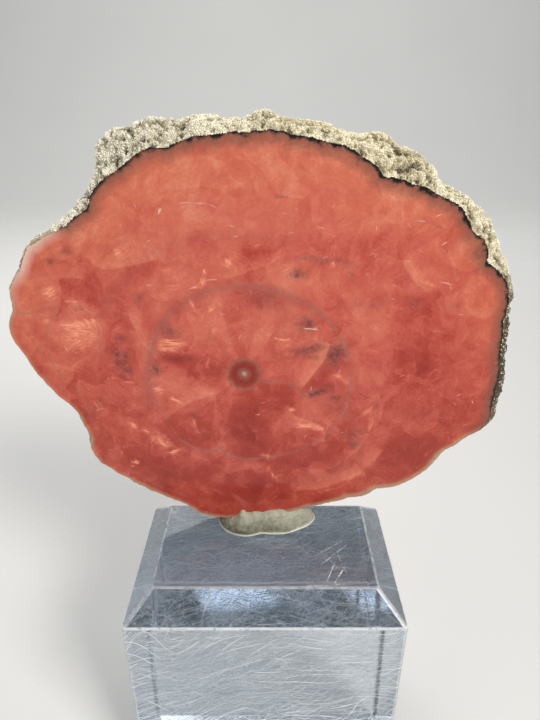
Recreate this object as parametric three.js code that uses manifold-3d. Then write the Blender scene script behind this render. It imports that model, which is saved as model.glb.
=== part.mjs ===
// A slice of rhodochrosite standing on edge, held by a roll of mineral putty on a clear acrylic block.
// Units are millimetres. +Z is up, the slice's polished face looks along -Y, and the origin is the
// centre of the block's underside.
import * as THREE from "three";
import { ConvexGeometry } from "three/addons/geometries/ConvexGeometry.js";
import { mergeVertices } from "three/addons/utils/BufferGeometryUtils.js";
import Module from "manifold-3d";

const wasm = await Module();
wasm.setup();

// Driving dimensions
const BLOCK_WIDTH = 50.8;
const BLOCK_DEPTH = 31.8;
const BLOCK_HEIGHT = 50.8;
const BLOCK_BEVEL = 4.8; // sloping border round the top face, measured across and down
const BLOCK_EDGE = 0.4; // flat rubbed on each upright edge
const SLICE_THICKNESS = 6;
const SLICE_FRONT_Y = 4; // where the polished face stands on the block
const EYE_X = -3.5; // growth centre of the slice
const EYE_ABOVE_BLOCK = 35.8;
const POLISH_EDGE = 0.2; // the polished faces' rubbed-down arris
const COARSE_KNOB = 0.32; // how far the rind's knobs stand out
const FINE_KNOB = 0.22;
const CLEARANCE = 0.3; // gap between the putty and what it grips

const BLOCK_TOP = BLOCK_HEIGHT;
const EYE_Z = BLOCK_TOP + EYE_ABOVE_BLOCK;

// The slice's rim, counter-clockwise from +X as seen from the front: angle in degrees, radius of the
// cut face from the growth centre, and how far the natural rind stands out behind that face.
const RIM = [
  [0, 45.3, 2.1],
  [5, 45.0, 1.9],
  [9, 45.2, 1.9],
  [12, 45.3, 1.6],
  [15, 46.1, 1.3],
  [18, 46.8, 1.1],
  [20, 46.7, 1.2],
  [23, 46.3, 1.7],
  [25, 45.5, 2.2],
  [27, 44.7, 2.9],
  [28, 45.2, 2.5],
  [30, 45.5, 2.3],
  [32.5, 45.2, 2.5],
  [34, 44.4, 3.0],
  [36, 44.7, 2.5],
  [40, 44.9, 1.5],
  [42.5, 44.2, 1.2],
  [45, 43.3, 1.2],
  [48, 42.8, 2.2],
  [50, 42.0, 3.2],
  [52.5, 41.4, 4.1],
  [55, 40.6, 4.2],
  [57, 39.9, 4.4],
  [59, 40.5, 4.3],
  [61, 40.7, 4.0],
  [63, 40.6, 3.1],
  [65, 40.9, 1.8],
  [68, 41.0, 1.3],
  [70, 40.5, 1.7],
  [75, 40.3, 1.6],
  [79, 40.1, 1.4],
  [82, 40.4, 1.5],
  [85, 40.1, 2.2],
  [88, 39.7, 1.7],
  [91, 39.8, 1.2],
  [94, 39.6, 1.4],
  [97, 39.6, 2.2],
  [100, 39.7, 2.2],
  [103, 39.5, 2.3],
  [107, 39.3, 3.6],
  [110, 39.9, 3.5],
  [112, 40.0, 3.5],
  [115, 39.6, 4.3],
  [118, 39.2, 4.8],
  [121, 39.2, 4.3],
  [123, 39.2, 2.2],
  [125, 39.1, 0.9],
  [128, 38.4, 1.0],
  [130, 37.5, 1.5],
  [133, 38.0, 1.1],
  [137, 38.2, 0.6],
  [140, 38.9, 0.4],
  [142, 39.6, 0.4],
  [145, 40.5, 0.4],
  [147, 41.2, 0.4],
  [150, 41.3, 0.4],
  [152, 41.0, 0.4],
  [154, 41.2, 0.4],
  [157, 41.8, 0.5],
  [160, 41.5, 0.5],
  [163, 40.8, 0.6],
  [165, 41.0, 0.6],
  [168, 41.2, 0.6],
  [171, 40.6, 0.6],
  [174, 39.2, 0.7],
  [177, 38.2, 0.8],
  [180, 37.2, 0.9],
  [184, 35.8, 1.0],
  [188, 34.4, 1.0],
  [190, 33.5, 1.1],
  [193, 32.5, 1.2],
  [196, 32.1, 1.2],
  [200, 32.1, 1.2],
  [205, 32.3, 1.3],
  [207, 33.2, 1.5],
  [210, 34.0, 1.3],
  [214, 34.3, 1.3],
  [218, 33.8, 1.4],
  [222, 33.4, 1.4],
  [225, 32.9, 1.5],
  [230, 32.5, 1.6],
  [240, 32.1, 1.6],
  [246, 32.1, 1.5],
  [250, 32.7, 1.3],
  [254, 33.5, 1.0],
  [262, 33.3, 0.9],
  [272, 32.9, 0.9],
  [282, 32.6, 1.0],
  [290, 32.6, 1.2],
  [295, 32.9, 1.3],
  [300, 33.6, 1.4],
  [306, 34.5, 1.5],
  [308, 35.4, 1.4],
  [311, 36.0, 1.3],
  [314, 36.1, 1.5],
  [316, 36.8, 1.6],
  [318, 38.0, 1.5],
  [320, 38.8, 1.4],
  [322, 39.3, 1.4],
  [325, 40.1, 1.3],
  [329, 40.8, 1.3],
  [332, 40.7, 1.5],
  [336, 41.1, 1.7],
  [338, 42.2, 1.5],
  [340, 42.9, 1.5],
  [342, 43.6, 1.6],
  [344, 45.2, 1.5],
  [346, 46.0, 1.6],
  [349, 46.2, 1.9],
  [351, 45.8, 2.2],
  [354, 45.4, 2.4],
  [357, 45.5, 2.4],
];

// The rim's section: depth behind the polished face as a share of the thickness, and how much of the
// rind's stand-out is reached there.
const RIM_SECTION = [
  [0.0, 0.0],
  [0.035, 0.0],
  [0.14, 0.34],
  [0.3, 0.66],
  [0.5, 0.9],
  [0.7, 1.0],
  [0.86, 0.98],
  [0.965, 0.88],
  [1.0, 0.84],
];
const RIM_STEPS = 240;

// Value of one column of RIM at an angle in degrees, by a closed cubic through the listed points.
function rimValue(degrees, column) {
  const n = RIM.length;
  const angle = ((degrees % 360) + 360) % 360;
  let i = n - 1;
  while (i > 0 && RIM[i][0] > angle) i--;
  const at = (k) => [RIM[(k + n) % n][0] + 360 * Math.floor(k / n), RIM[(k + n) % n][column]];
  const [p0, p1, p2, p3] = [at(i - 1), at(i), at(i + 1), at(i + 2)];
  const span = p2[0] - p1[0];
  const t = (angle - p1[0]) / span;
  const slopeIn = ((p2[1] - p0[1]) / (p2[0] - p0[0])) * span;
  const slopeOut = ((p3[1] - p1[1]) / (p3[0] - p1[0])) * span;
  const a = 2 * p1[1] - 2 * p2[1] + slopeIn + slopeOut;
  const b = 3 * p2[1] - 3 * p1[1] - 2 * slopeIn - slopeOut;
  return ((a * t + b) * t + slopeIn) * t + p1[1];
}

// Small knobs of the rind, in mm, periodic round the rim. They fade out at the two cut faces.
function rindKnobs(radians, share) {
  const fade = Math.sin(Math.PI * share);
  const coarse = Math.sin(31 * radians + 5 * share) * Math.sin(17 * radians - 7 * share + 1.3);
  const fine = Math.sin(67 * radians - 9 * share + 0.6) * Math.sin(43 * radians + 11 * share);
  return fade * (COARSE_KNOB * coarse + FINE_KNOB * fine);
}

// The slice: a drum whose rim is pushed out to the natural outline. grow makes it larger all round,
// which is how the putty's socket is cut.
function sliceGeometry(grow) {
  const rings = RIM_SECTION.length - 1;
  const drum = new THREE.CylinderGeometry(1, 1, 1, RIM_STEPS, rings);
  const spots = drum.getAttribute("position");
  for (let k = 0; k < spots.count; k++) {
    const share = spots.getY(k) + 0.5;
    const [depth, flare] = RIM_SECTION[Math.round(share * rings)];
    const onRim = Math.hypot(spots.getX(k), spots.getZ(k)) > 0.5;
    const angle = Math.atan2(spots.getZ(k), spots.getX(k));
    const degrees = THREE.MathUtils.radToDeg(angle);
    const arris = depth === 0 || depth === 1 ? POLISH_EDGE : 0;
    const stand = flare * rimValue(degrees, 2) + rindKnobs(angle, depth) - arris + grow;
    const radius = onRim ? rimValue(degrees, 1) + stand : 0;
    const y = SLICE_FRONT_Y - grow + depth * (SLICE_THICKNESS + 2 * grow);
    spots.setXYZ(k, EYE_X + radius * Math.cos(angle), y, EYE_Z + radius * Math.sin(angle));
  }
  return drum;
}

// A three.js geometry as a manifold-3d solid, and back.
function toSolid(geometry) {
  const bare = new THREE.BufferGeometry();
  const loose = geometry.index ? geometry.toNonIndexed() : geometry;
  bare.setAttribute("position", loose.getAttribute("position"));
  const merged = mergeVertices(bare, 1e-4);
  return new wasm.Manifold(
    new wasm.Mesh({
      numProp: 3,
      vertProperties: merged.getAttribute("position").array,
      triVerts: new Uint32Array(merged.index.array),
    }),
  );
}

function toGeometry(solid) {
  const mesh = solid.getMesh();
  const geometry = new THREE.BufferGeometry();
  geometry.setAttribute("position", new THREE.BufferAttribute(mesh.vertProperties, 3));
  geometry.setIndex(new THREE.BufferAttribute(mesh.triVerts, 1));
  geometry.computeVertexNormals();
  return geometry;
}

// The block: upright sides with rubbed edges, a level top face and four sloping borders.
function blockGeometry() {
  const corners = [];
  const border = (inset, cut, z) => {
    const x = BLOCK_WIDTH / 2 - inset;
    const y = BLOCK_DEPTH / 2 - inset;
    for (const sx of [-1, 1])
      for (const sy of [-1, 1]) {
        corners.push(new THREE.Vector3(sx * (x - cut), sy * y, z));
        corners.push(new THREE.Vector3(sx * x, sy * (y - cut), z));
      }
  };
  border(0, BLOCK_EDGE, 0);
  border(0, BLOCK_EDGE, BLOCK_TOP - BLOCK_BEVEL);
  border(BLOCK_BEVEL, BLOCK_EDGE, BLOCK_TOP);
  return new ConvexGeometry(corners);
}

// The putty: a roll of it pressed down on the block and up against both faces of the slice. Its foot is
// a hand-drawn outline on the block's top face, its crest is given by places along it, and its section
// across is a blunt superellipse.
const PUTTY_MIDDLE = [0.2, 7.2];
const PUTTY_FOOT = [
  [10.2, 7.4],
  [8.9, 9.9],
  [5.6, 11.6],
  [1.2, 11.8],
  [-3.4, 11.5],
  [-7.3, 10.8],
  [-9.4, 9.1],
  [-9.8, 7.0],
  [-8.6, 4.1],
  [-6.8, 2.6],
  [-5.0, 2.0],
  [-3.2, 1.9],
  [-1.0, 2.6],
  [1.6, 2.4],
  [4.4, 2.7],
  [7.3, 4.1],
  [9.0, 5.2],
];
const PUTTY_CREST = [
  [-10, 2.9],
  [-8, 4.4],
  [-6, 5.0],
  [-4.7, 6.3],
  [-3.6, 5.2],
  [-2, 5.3],
  [1, 6.2],
  [3.6, 6.9],
  [6.5, 6.5],
  [8.7, 5.2],
  [10.3, 3.4],
];
const PUTTY_BLUNTNESS = 2.6;
const PUTTY_STEPS_ROUND = 56;
const PUTTY_STEPS_UP = 11;
const PUTTY_CREST_STEPS = 80;

function puttyProfile() {
  const points = [new THREE.Vector2(0, 0), new THREE.Vector2(0.5, 0)];
  for (let k = 0; k <= PUTTY_STEPS_UP; k++) {
    const turn = ((k / PUTTY_STEPS_UP) * Math.PI) / 2;
    const share = 2 / PUTTY_BLUNTNESS;
    const out = k === PUTTY_STEPS_UP ? 0 : Math.cos(turn) ** share;
    points.push(new THREE.Vector2(out, Math.sin(turn) ** share));
  }
  return points;
}

function puttyGeometry() {
  const foot = new THREE.CatmullRomCurve3(
    PUTTY_FOOT.map(([x, y]) => new THREE.Vector3(x, y, 0)),
    true,
    "centripetal",
  );
  const crest = new THREE.SplineCurve(PUTTY_CREST.map(([x, height]) => new THREE.Vector2(x, height)));
  const crestPoints = crest.getPoints(PUTTY_CREST_STEPS);
  const crestAt = (x) => {
    const next = Math.max(1, crestPoints.findIndex((point) => point.x >= x));
    const [from, to] = [crestPoints[next - 1], crestPoints[next]];
    return THREE.MathUtils.mapLinear(x, from.x, to.x, from.y, to.y);
  };
  const [middleX, middleY] = PUTTY_MIDDLE;
  const roll = new THREE.LatheGeometry(puttyProfile(), PUTTY_STEPS_ROUND);
  const spots = roll.getAttribute("position");
  for (let k = 0; k < spots.count; k++) {
    const [out, lift] = [Math.hypot(spots.getX(k), spots.getZ(k)), spots.getY(k)];
    const turn = Math.atan2(spots.getX(k), spots.getZ(k)) / (2 * Math.PI);
    const edge = foot.getPoint((Math.round(turn * PUTTY_STEPS_ROUND) / PUTTY_STEPS_ROUND + 1) % 1);
    const x = middleX + out * (edge.x - middleX);
    const y = middleY + out * (edge.y - middleY);
    spots.setXYZ(k, x, y, BLOCK_TOP + lift * crestAt(x));
  }
  const gripped = toSolid(roll).subtract(toSolid(sliceGeometry(CLEARANCE)));
  const pieces = gripped.decompose().sort((a, b) => b.volume() - a.volume());
  return toGeometry(pieces[0]);
}

function named(name, geometry, material) {
  const mesh = new THREE.Mesh(geometry, material);
  mesh.name = name;
  return mesh;
}

const rhodochrosite = new THREE.MeshStandardMaterial({ color: 0xc8584c, roughness: 0.18, metalness: 0 });
const putty = new THREE.MeshStandardMaterial({ color: 0xbdbba9, roughness: 0.8, metalness: 0 });
const acrylic = new THREE.MeshStandardMaterial({
  color: 0xe8eef2,
  roughness: 0.05,
  metalness: 0,
  transparent: true,
  opacity: 0.35,
});

const specimen = new THREE.Group();
specimen.add(
  named("rhodochrosite_slice", sliceGeometry(0), rhodochrosite),
  named("mineral_putty", puttyGeometry(), putty),
  named("acrylic_block", blockGeometry(), acrylic),
);

export default specimen;
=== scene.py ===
"""A slice of rhodochrosite in mineral putty on a clear acrylic block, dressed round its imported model."""

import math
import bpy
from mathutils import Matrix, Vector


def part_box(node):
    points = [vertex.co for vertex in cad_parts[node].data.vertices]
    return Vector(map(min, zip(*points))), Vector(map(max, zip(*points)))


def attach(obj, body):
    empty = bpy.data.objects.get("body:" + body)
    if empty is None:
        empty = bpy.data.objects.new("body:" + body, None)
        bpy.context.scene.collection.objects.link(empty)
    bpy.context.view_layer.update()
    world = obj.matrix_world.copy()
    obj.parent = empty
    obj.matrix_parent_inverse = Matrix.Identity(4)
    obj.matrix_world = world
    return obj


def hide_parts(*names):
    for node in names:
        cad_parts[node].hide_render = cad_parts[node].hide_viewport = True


bl_info = {
    "name": "Rhodochrosite slice on an acrylic block",
    "version": (1, 0, 0),
    "blender": (4, 5, 0),
    "location": "View3D > Sidebar > Specimen",
    "description": "Builds a polished stalactite slice, its granular rind, the putty and the clear block",
    "category": "Add Mesh",
}

import bmesh
import bpy
import numpy as np
from mathutils import Vector
from mathutils.bvhtree import BVHTree
from mathutils.kdtree import KDTree

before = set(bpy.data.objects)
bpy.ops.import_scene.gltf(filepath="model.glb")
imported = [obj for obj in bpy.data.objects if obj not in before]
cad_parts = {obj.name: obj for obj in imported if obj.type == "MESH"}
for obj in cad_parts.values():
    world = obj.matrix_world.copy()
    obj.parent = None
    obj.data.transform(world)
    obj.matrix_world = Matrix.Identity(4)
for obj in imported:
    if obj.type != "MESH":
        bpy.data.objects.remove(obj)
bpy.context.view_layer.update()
MM = 0.001
SLICE_NODE, PUTTY_NODE, BLOCK_NODE = "rhodochrosite_slice", "mineral_putty", "acrylic_block"
BLOCK_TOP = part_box(BLOCK_NODE)[1].z
BLOCK_BEVEL = 4.8 * MM
RHODOCHROSITE_IOR, ACRYLIC_IOR, POLISH_IOR = 1.6, 1.49, 1.5
# Widths of the rind's lumps, of the ridges at its left and right, and of its grit
LUMP_CELL, BACK_RIDGE_CELL, RIM_RIDGE_CELL, GRIT_CELL = 1.9 * MM, 0.85 * MM, 0.9 * MM, 0.55 * MM
# Widths of the chips in the polished face's edge, and how far from that edge the rind is still low
CHIP_CELL, FINE_CHIP_CELL, EDGE_FADE = 1.1 * MM, 0.5 * MM, 0.5 * MM

# Metres to millimetres, in the materials
TO_MM = 1000.0
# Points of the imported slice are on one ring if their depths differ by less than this
SAME_RING = 2e-5
# Sockets of a colour Mix node, which shares its names between kinds of data
MIX_FACTOR, MIX_A, MIX_B, MIX_RESULT = 0, 6, 7, 2


# Places drawn on the polished face. All are millimetres from the growth centre, x to the
# right and z up as seen from the front. A spot is x, z, half length, half width, tilt in degrees
# and strength.
PALE_SPOTS = (
    (-9, 33, 8, 4, 12, 0.55), (11, 34, 6, 3, -12, 0.4), (21, 28, 7, 4, -28, 0.4),
    (35.5, 21.8, 3.2, 2.8, 0, 0.55), (39.5, 14.5, 4, 4.5, 0, 0.35), (22, 9, 5, 4, 0, 0.35),
    (25, -1, 4, 4, 0, 0.4), (-25, 27, 6, 4, 35, 0.45), (-33, 17, 4, 5, 0, 0.4), (-37, 8, 2.2, 5, 0, 0.25),
    (1.5, 9.5, 3, 4.5, 0, 0.35), (-6.2, 8.5, 2.6, 4, 20, 0.45), (10.5, 6.8, 4, 3, 10, 0.35),
    (8.5, 1, 4, 2, 0, 0.4), (-13, -2.5, 5, 3, -15, 0.4), (7.8, 18.4, 2.6, 2, 0, 0.7),
    (-2.6, 20.6, 2.2, 2, 60, 0.5), (13.5, -7.5, 4.5, 2.6, -35, 0.5), (20.5, -22.5, 6, 2, 28, 0.4),
    (-18.5, 3, 1.2, 9, 0, 0.45), (-20.5, 1, 1.4, 7, 0, 0.3), (-12, 15.5, 4, 3, 0, 0.4),
    (-28, 6.5, 5, 4, 20, 0.35), (16, -25, 6, 1.6, 14, 0.35), (29, 18.5, 2.4, 3, 40, 0.45),
    (5, -21.8, 4, 1.6, -30, 0.3), (3, 36, 5, 2, 0, 0.35),
)
DEEP_SPOTS = (
    (-0.5, -11.5, 4.6, 7.5, 0, 0.95), (6, -6.5, 4.5, 3.8, 0, 0.7), (-9, -13, 5.5, 3.4, -15, 0.5),
    (-18, -21, 9, 4.4, -30, 0.7), (31, 3, 9, 10, 0, 0.55), (29, -17, 6, 5, 30, 0.4),
    (-22, 12.5, 3.2, 4, 0, 0.45), (-31.5, 13, 2, 1.8, 0, 0.5), (0, -25, 15, 4, 0, 0.5),
    (-27, 16, 4, 2, 0, 0.5), (3, 21.2, 3.8, 1.6, 0, 0.45), (-4, 0.5, 3.2, 2.6, 0, 0.35),
    (11.8, -12.9, 2.6, 1.8, -8, 0.6), (28, 13, 5, 3, 0, 0.35), (13, 0.5, 1.6, 2, -50, 0.35),
    (-17, 18, 3, 2, 30, 0.3), (-26, -13, 2, 5, 25, 0.35), (-28, -6, 5, 6, 20, 0.5),
    (18, 23, 4, 3, 0, 0.3), (37, -9, 4, 5, 0, 0.3), (-36, 12, 2.6, 1.2, 0, 0.3),
    (-38, 4, 1.5, 5, 15, 0.35), (-11, 3, 4, 1, -10, 0.5), (9, -19.5, 4, 1.4, 12, 0.3),
)
SMOKE_SPOTS = (
    (10.7, 9.5, 1.4, 1.5, 0, 0.95), (8.8, 9.6, 1.1, 0.7, 30, 0.4), (11.6, 4.2, 2.6, 0.9, 14, 0.85),
    (12.2, 2.7, 1.3, 0.5, 5, 0.6), (8.9, 4, 0.9, 0.6, 0, 0.5), (16.1, 3.4, 1.5, 2.3, -12, 1),
    (15, 1.4, 0.9, 0.8, 0, 0.5), (13.3, -3.7, 2.4, 0.75, 18, 1), (16.6, -5, 2, 0.8, 0, 0.6),
    (17.4, -7.6, 1.4, 1.4, 0, 0.3), (-12.7, 8.2, 1.6, 1.1, -25, 0.65), (-13.6, 9.3, 0.8, 0.8, 0, 0.45),
    (-12, 3, 3.2, 0.35, -9, 0.7), (-14.2, 3.3, 1.4, 0.3, -25, 0.5), (-15.8, 0.7, 0.9, 1.1, 0, 0.8),
    (-22.2, 4.1, 0.7, 0.7, 0, 1), (-20.8, 3.5, 0.5, 0.9, 10, 0.8), (-22.3, 2.4, 0.7, 0.6, 0, 0.9),
    (-21.3, 2, 0.6, 0.7, 0, 0.9), (-22, 0.6, 0.8, 0.6, 0, 0.85), (-20.8, 0.2, 0.5, 0.8, 0, 0.8),
    (-22, -0.8, 0.6, 0.5, 0, 0.6), (-21.3, 6.7, 1.3, 0.6, -10, 0.5), (-17.4, 13.6, 1.1, 1, 0, 0.45),
    (3.4, 13.6, 3.2, 1.8, 0, 0.4), (8.8, 18.1, 1.5, 0.7, 0, 0.85), (5.8, 30.2, 0.8, 0.6, 0, 0.45),
    (21.7, 12.4, 1.4, 0.5, 0, 0.35), (29, 13.1, 1.1, 0.5, 25, 0.5), (38, 21.3, 1.5, 1.2, 0, 0.6),
    (-31.2, 20.2, 0.8, 0.6, 0, 0.7), (-28.8, 21.9, 1, 0.8, 0, 0.5), (-27.8, 12.2, 0.9, 0.3, -15, 0.6),
    (20.2, -15.1, 1, 0.9, 0, 0.7), (20, -13, 2.2, 0.6, 14, 0.5), (24, -6.3, 0.9, 0.7, 0, 0.6),
    (-26.6, -6, 1.4, 0.4, 60, 0.4), (-27.8, -7.6, 1.2, 0.3, 60, 0.4), (17.6, 17.8, 0.5, 0.6, 0, 0.4),
    (-9, -9.6, 0.3, 1.3, 15, 0.5), (35, 12.9, 1.4, 1.2, 0, 0.15), (-33.5, 24, 1.2, 0.5, 30, 0.3),
    (-1.5, -27.5, 3, 0.5, -4, 0.3), (13.5, 20.3, 4.5, 0.4, -3, 0.45), (-5.8, 7.2, 0.6, 0.7, 0, 0.3),
)
# Painted reflections of the cleavage planes inside the stone
GLINT_SPOTS = (
    (-28.6, 9.1, 2.9, 0.5, 5, 1), (-28.4, 7.4, 3.6, 1, 22, 0.75), (-29.6, 5.6, 3.4, 1.2, 32, 0.6),
    (-30.5, 8.9, 1.2, 0.5, -10, 0.6), (-28.5, 13.4, 1.8, 0.4, 0, 0.7), (-26.6, 11.6, 2.2, 0.5, -4, 0.55),
    (-29.3, 12.3, 0.7, 0.5, -40, 0.6), (-32.6, 14.8, 1.3, 1.2, 30, 0.85), (-33.4, 10, 0.9, 0.6, 20, 0.7),
    (-36.7, 13.3, 1.1, 0.3, -15, 0.5), (-19.7, 21.6, 1.3, 1, 35, 0.75), (-16.6, 21.9, 0.5, 1.2, 5, 0.7),
    (-21, 19.5, 2.6, 0.35, -4, 0.45), (-12.1, 18.8, 0.8, 0.45, 10, 0.7), (-6.9, 16.6, 0.5, 1.3, -20, 1),
    (-7.9, 15.7, 0.7, 0.3, 25, 0.7), (-6.3, 18.2, 0.4, 0.6, 0, 0.8), (-11.2, 15.6, 2.6, 0.6, 4, 0.5),
    (-2.4, 20.3, 0.9, 1.2, 40, 0.95), (-3.4, 21.2, 0.8, 0.5, -20, 0.5), (7.4, 18.8, 1.4, 1.2, 20, 0.45),
    (-12.6, 6.1, 2.6, 0.8, -3, 0.9), (-10.6, 5.5, 1.2, 0.5, 12, 0.6), (-14.4, 5.3, 1.2, 0.5, -8, 0.5),
    (-8.6, 12.6, 0.35, 1.2, 10, 0.7), (-7, 13.2, 1.1, 0.3, 0, 0.4), (-5.8, 12, 0.6, 0.6, 40, 0.9),
    (-5.1, 12.9, 0.3, 0.7, -10, 0.7), (-1.3, 12.5, 0.35, 1.7, 38, 0.6), (-5.1, 8.1, 0.5, 0.6, 0, 0.7),
    (-5.6, 9.6, 0.9, 0.4, 30, 0.5), (6.4, 6.6, 1.8, 0.3, -6, 1), (8.8, -7.5, 0.7, 0.6, -20, 0.9),
    (10.2, -9.3, 1.7, 0.3, -14, 0.7), (10.9, -10.9, 1.7, 0.6, 4, 1), (13.3, -11.2, 1, 0.5, -38, 1),
    (14.2, -12.4, 0.5, 1, -10, 0.5), (16.6, -1, 1.6, 0.35, -18, 0.9), (18.2, -1.6, 0.5, 0.6, 0, 0.5),
    (-16.1, -3.8, 1.1, 0.9, 0, 0.8), (-12.8, -5.9, 1.8, 0.4, -32, 0.8), (-7.5, -3.8, 1.2, 0.5, 20, 0.5),
    (-21.3, -10.6, 1.3, 0.5, -42, 0.9), (-18.8, -12.5, 0.8, 0.8, -30, 0.8),
    (-16.2, -14.8, 1.4, 0.7, -50, 0.9), (-14, -16.9, 1.7, 0.5, 4, 0.9), (-17.6, -14.2, 0.5, 1, 30, 0.6),
    (-9.7, -10.6, 0.8, 1.3, 10, 0.5), (-21.2, -19.3, 0.6, 0.5, 40, 1), (-21.9, -20.2, 0.5, 0.35, 0, 0.9),
    (-4.6, -15.6, 0.5, 1.1, 8, 0.5), (3.7, -17.8, 1.5, 0.4, 0, 0.6), (4.8, -22.2, 1.9, 0.35, -48, 0.75),
    (10.1, -25, 1, 0.6, 0, 0.4), (16.5, -25.6, 4, 0.4, 22, 0.4), (20.6, -22.6, 1.6, 0.4, 14, 0.6),
    (22.3, -7.4, 1.9, 0.35, 44, 0.85), (22.9, -10.9, 1.2, 0.35, 58, 0.7),
    (-20.9, -2.1, 1.3, 0.35, -6, 0.7), (-23.5, -1, 1.3, 0.3, -30, 0.4), (-8, -17.3, 1, 0.4, 0, 0.25),
    (22.2, 8.4, 1.6, 0.8, 0, 0.35), (13, 16, 0.4, 1.1, 0, 0.35), (-9.4, 35.6, 1.4, 0.5, 20, 0.3),
    (10.8, 35.9, 0.9, 0.6, -20, 0.45), (14.9, 34.9, 0.5, 0.7, 0, 0.4), (-27, -6.5, 0.8, 1.3, 20, 0.45),
    (30.4, 16.6, 1.3, 0.3, -40, 0.6), (33.5, -16, 0.8, 1.4, 20, 0.25), (-13, -21.5, 1.4, 0.3, -50, 0.35),
    (-29.8, 22.6, 1.3, 0.6, 40, 0.4), (5.8, 22.3, 0.9, 0.4, 30, 0.3),
)
# Thin grey-mauve growth lines: half width, strength, then the points they pass.
GROWTH_LINES = (
    (0.17, 0.9, ((2.4, -0.9), (3.1, -1.9), (4.5, -2), (6, -1.9), (7.5, -2.2), (9.2, -3), (10.8, -3.5))),
    (0.24, 0.9, ((-12.6, -14), (-10.2, -15.9), (-8, -16.5), (-6.5, -16.8), (-5.1, -16), (-4, -16.9),
        (-2.5, -18), (0, -18.6), (3.2, -18.3))),
    (0.22, 0.6, ((3.2, -18.3), (7, -17.4), (10.5, -16.2), (13.5, -14.5), (15.6, -12.4), (17.2, -9.6))),
    (0.24, 0.62, ((17.2, -9.6), (18.7, -6), (19.1, -2), (18.5, 2), (17.3, 5.5), (15.4, 8.6), (12.9, 11.3),
        (10, 13.2))),
    (0.22, 0.42, ((10, 13.2), (6, 15.1), (1.5, 16), (-3, 15.8), (-7.4, 14.6), (-11.2, 12.3), (-14, 9.2),
        (-16, 5), (-17, 0), (-16.6, -5), (-15, -9.6), (-12.6, -14))),
    (0.18, 0.45, ((8.2, 20.4), (12, 20.7), (15, 20.2), (17.6, 19.2))),
    (0.16, 0.4, ((27.5, 26.6), (30.5, 26), (33, 24.6), (34.2, 22.6))),
    (0.2, 0.4, ((-30.4, -3), (-27.8, -12.5), (-26, -16.8), (-23.4, -20.2), (-18.5, -24), (-13, -27.2),
        (-7, -29), (0, -29.4), (8, -28.6))),
    (0.18, 0.45, ((-39.2, 11.5), (-36.8, 11.2), (-34.6, 11.6), (-32.4, 12.4))),
    (0.2, 0.4, ((-26.2, 12), (-30.6, 12.6), (-33.6, 8.6), (-34.4, 4.4), (-33.4, 0.6), (-31, -2.6))),
    (0.16, 0.35, ((13, 31.6), (16.5, 30.5), (19.5, 31.2), (21.6, 33))),
)
# Broad mauve growth bands, in the same form.
GROWTH_BANDS = (
    (1, 0.75, ((-18.2, -6), (-17.2, 0), (-16.2, 5), (-14, 9.4), (-11.2, 12.3), (-7.5, 14.4), (-3, 15.6),
        (1.5, 15.8), (6, 14.9), (10, 13), (12.6, 11.4))),
    (0.8, 0.35, ((-25.4, 4), (-25, 9), (-22.6, 14), (-19, 17.8), (-15, 21), (-9.5, 23.6), (-4, 24.6),
        (2.5, 24.4), (7.5, 23.2))),
    (0.6, 0.4, ((5.6, 6.5), (6.7, 10), (7.6, 14))),
    (0.8, 0.3, ((16, 12), (20.5, 13.2), (26, 13.4), (30.5, 12.2))),
    (0.7, 0.35, ((18.5, -8.5), (22, -15), (20, -19.5), (14, -22.5), (6, -24), (-4, -23.5))),
)
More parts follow.
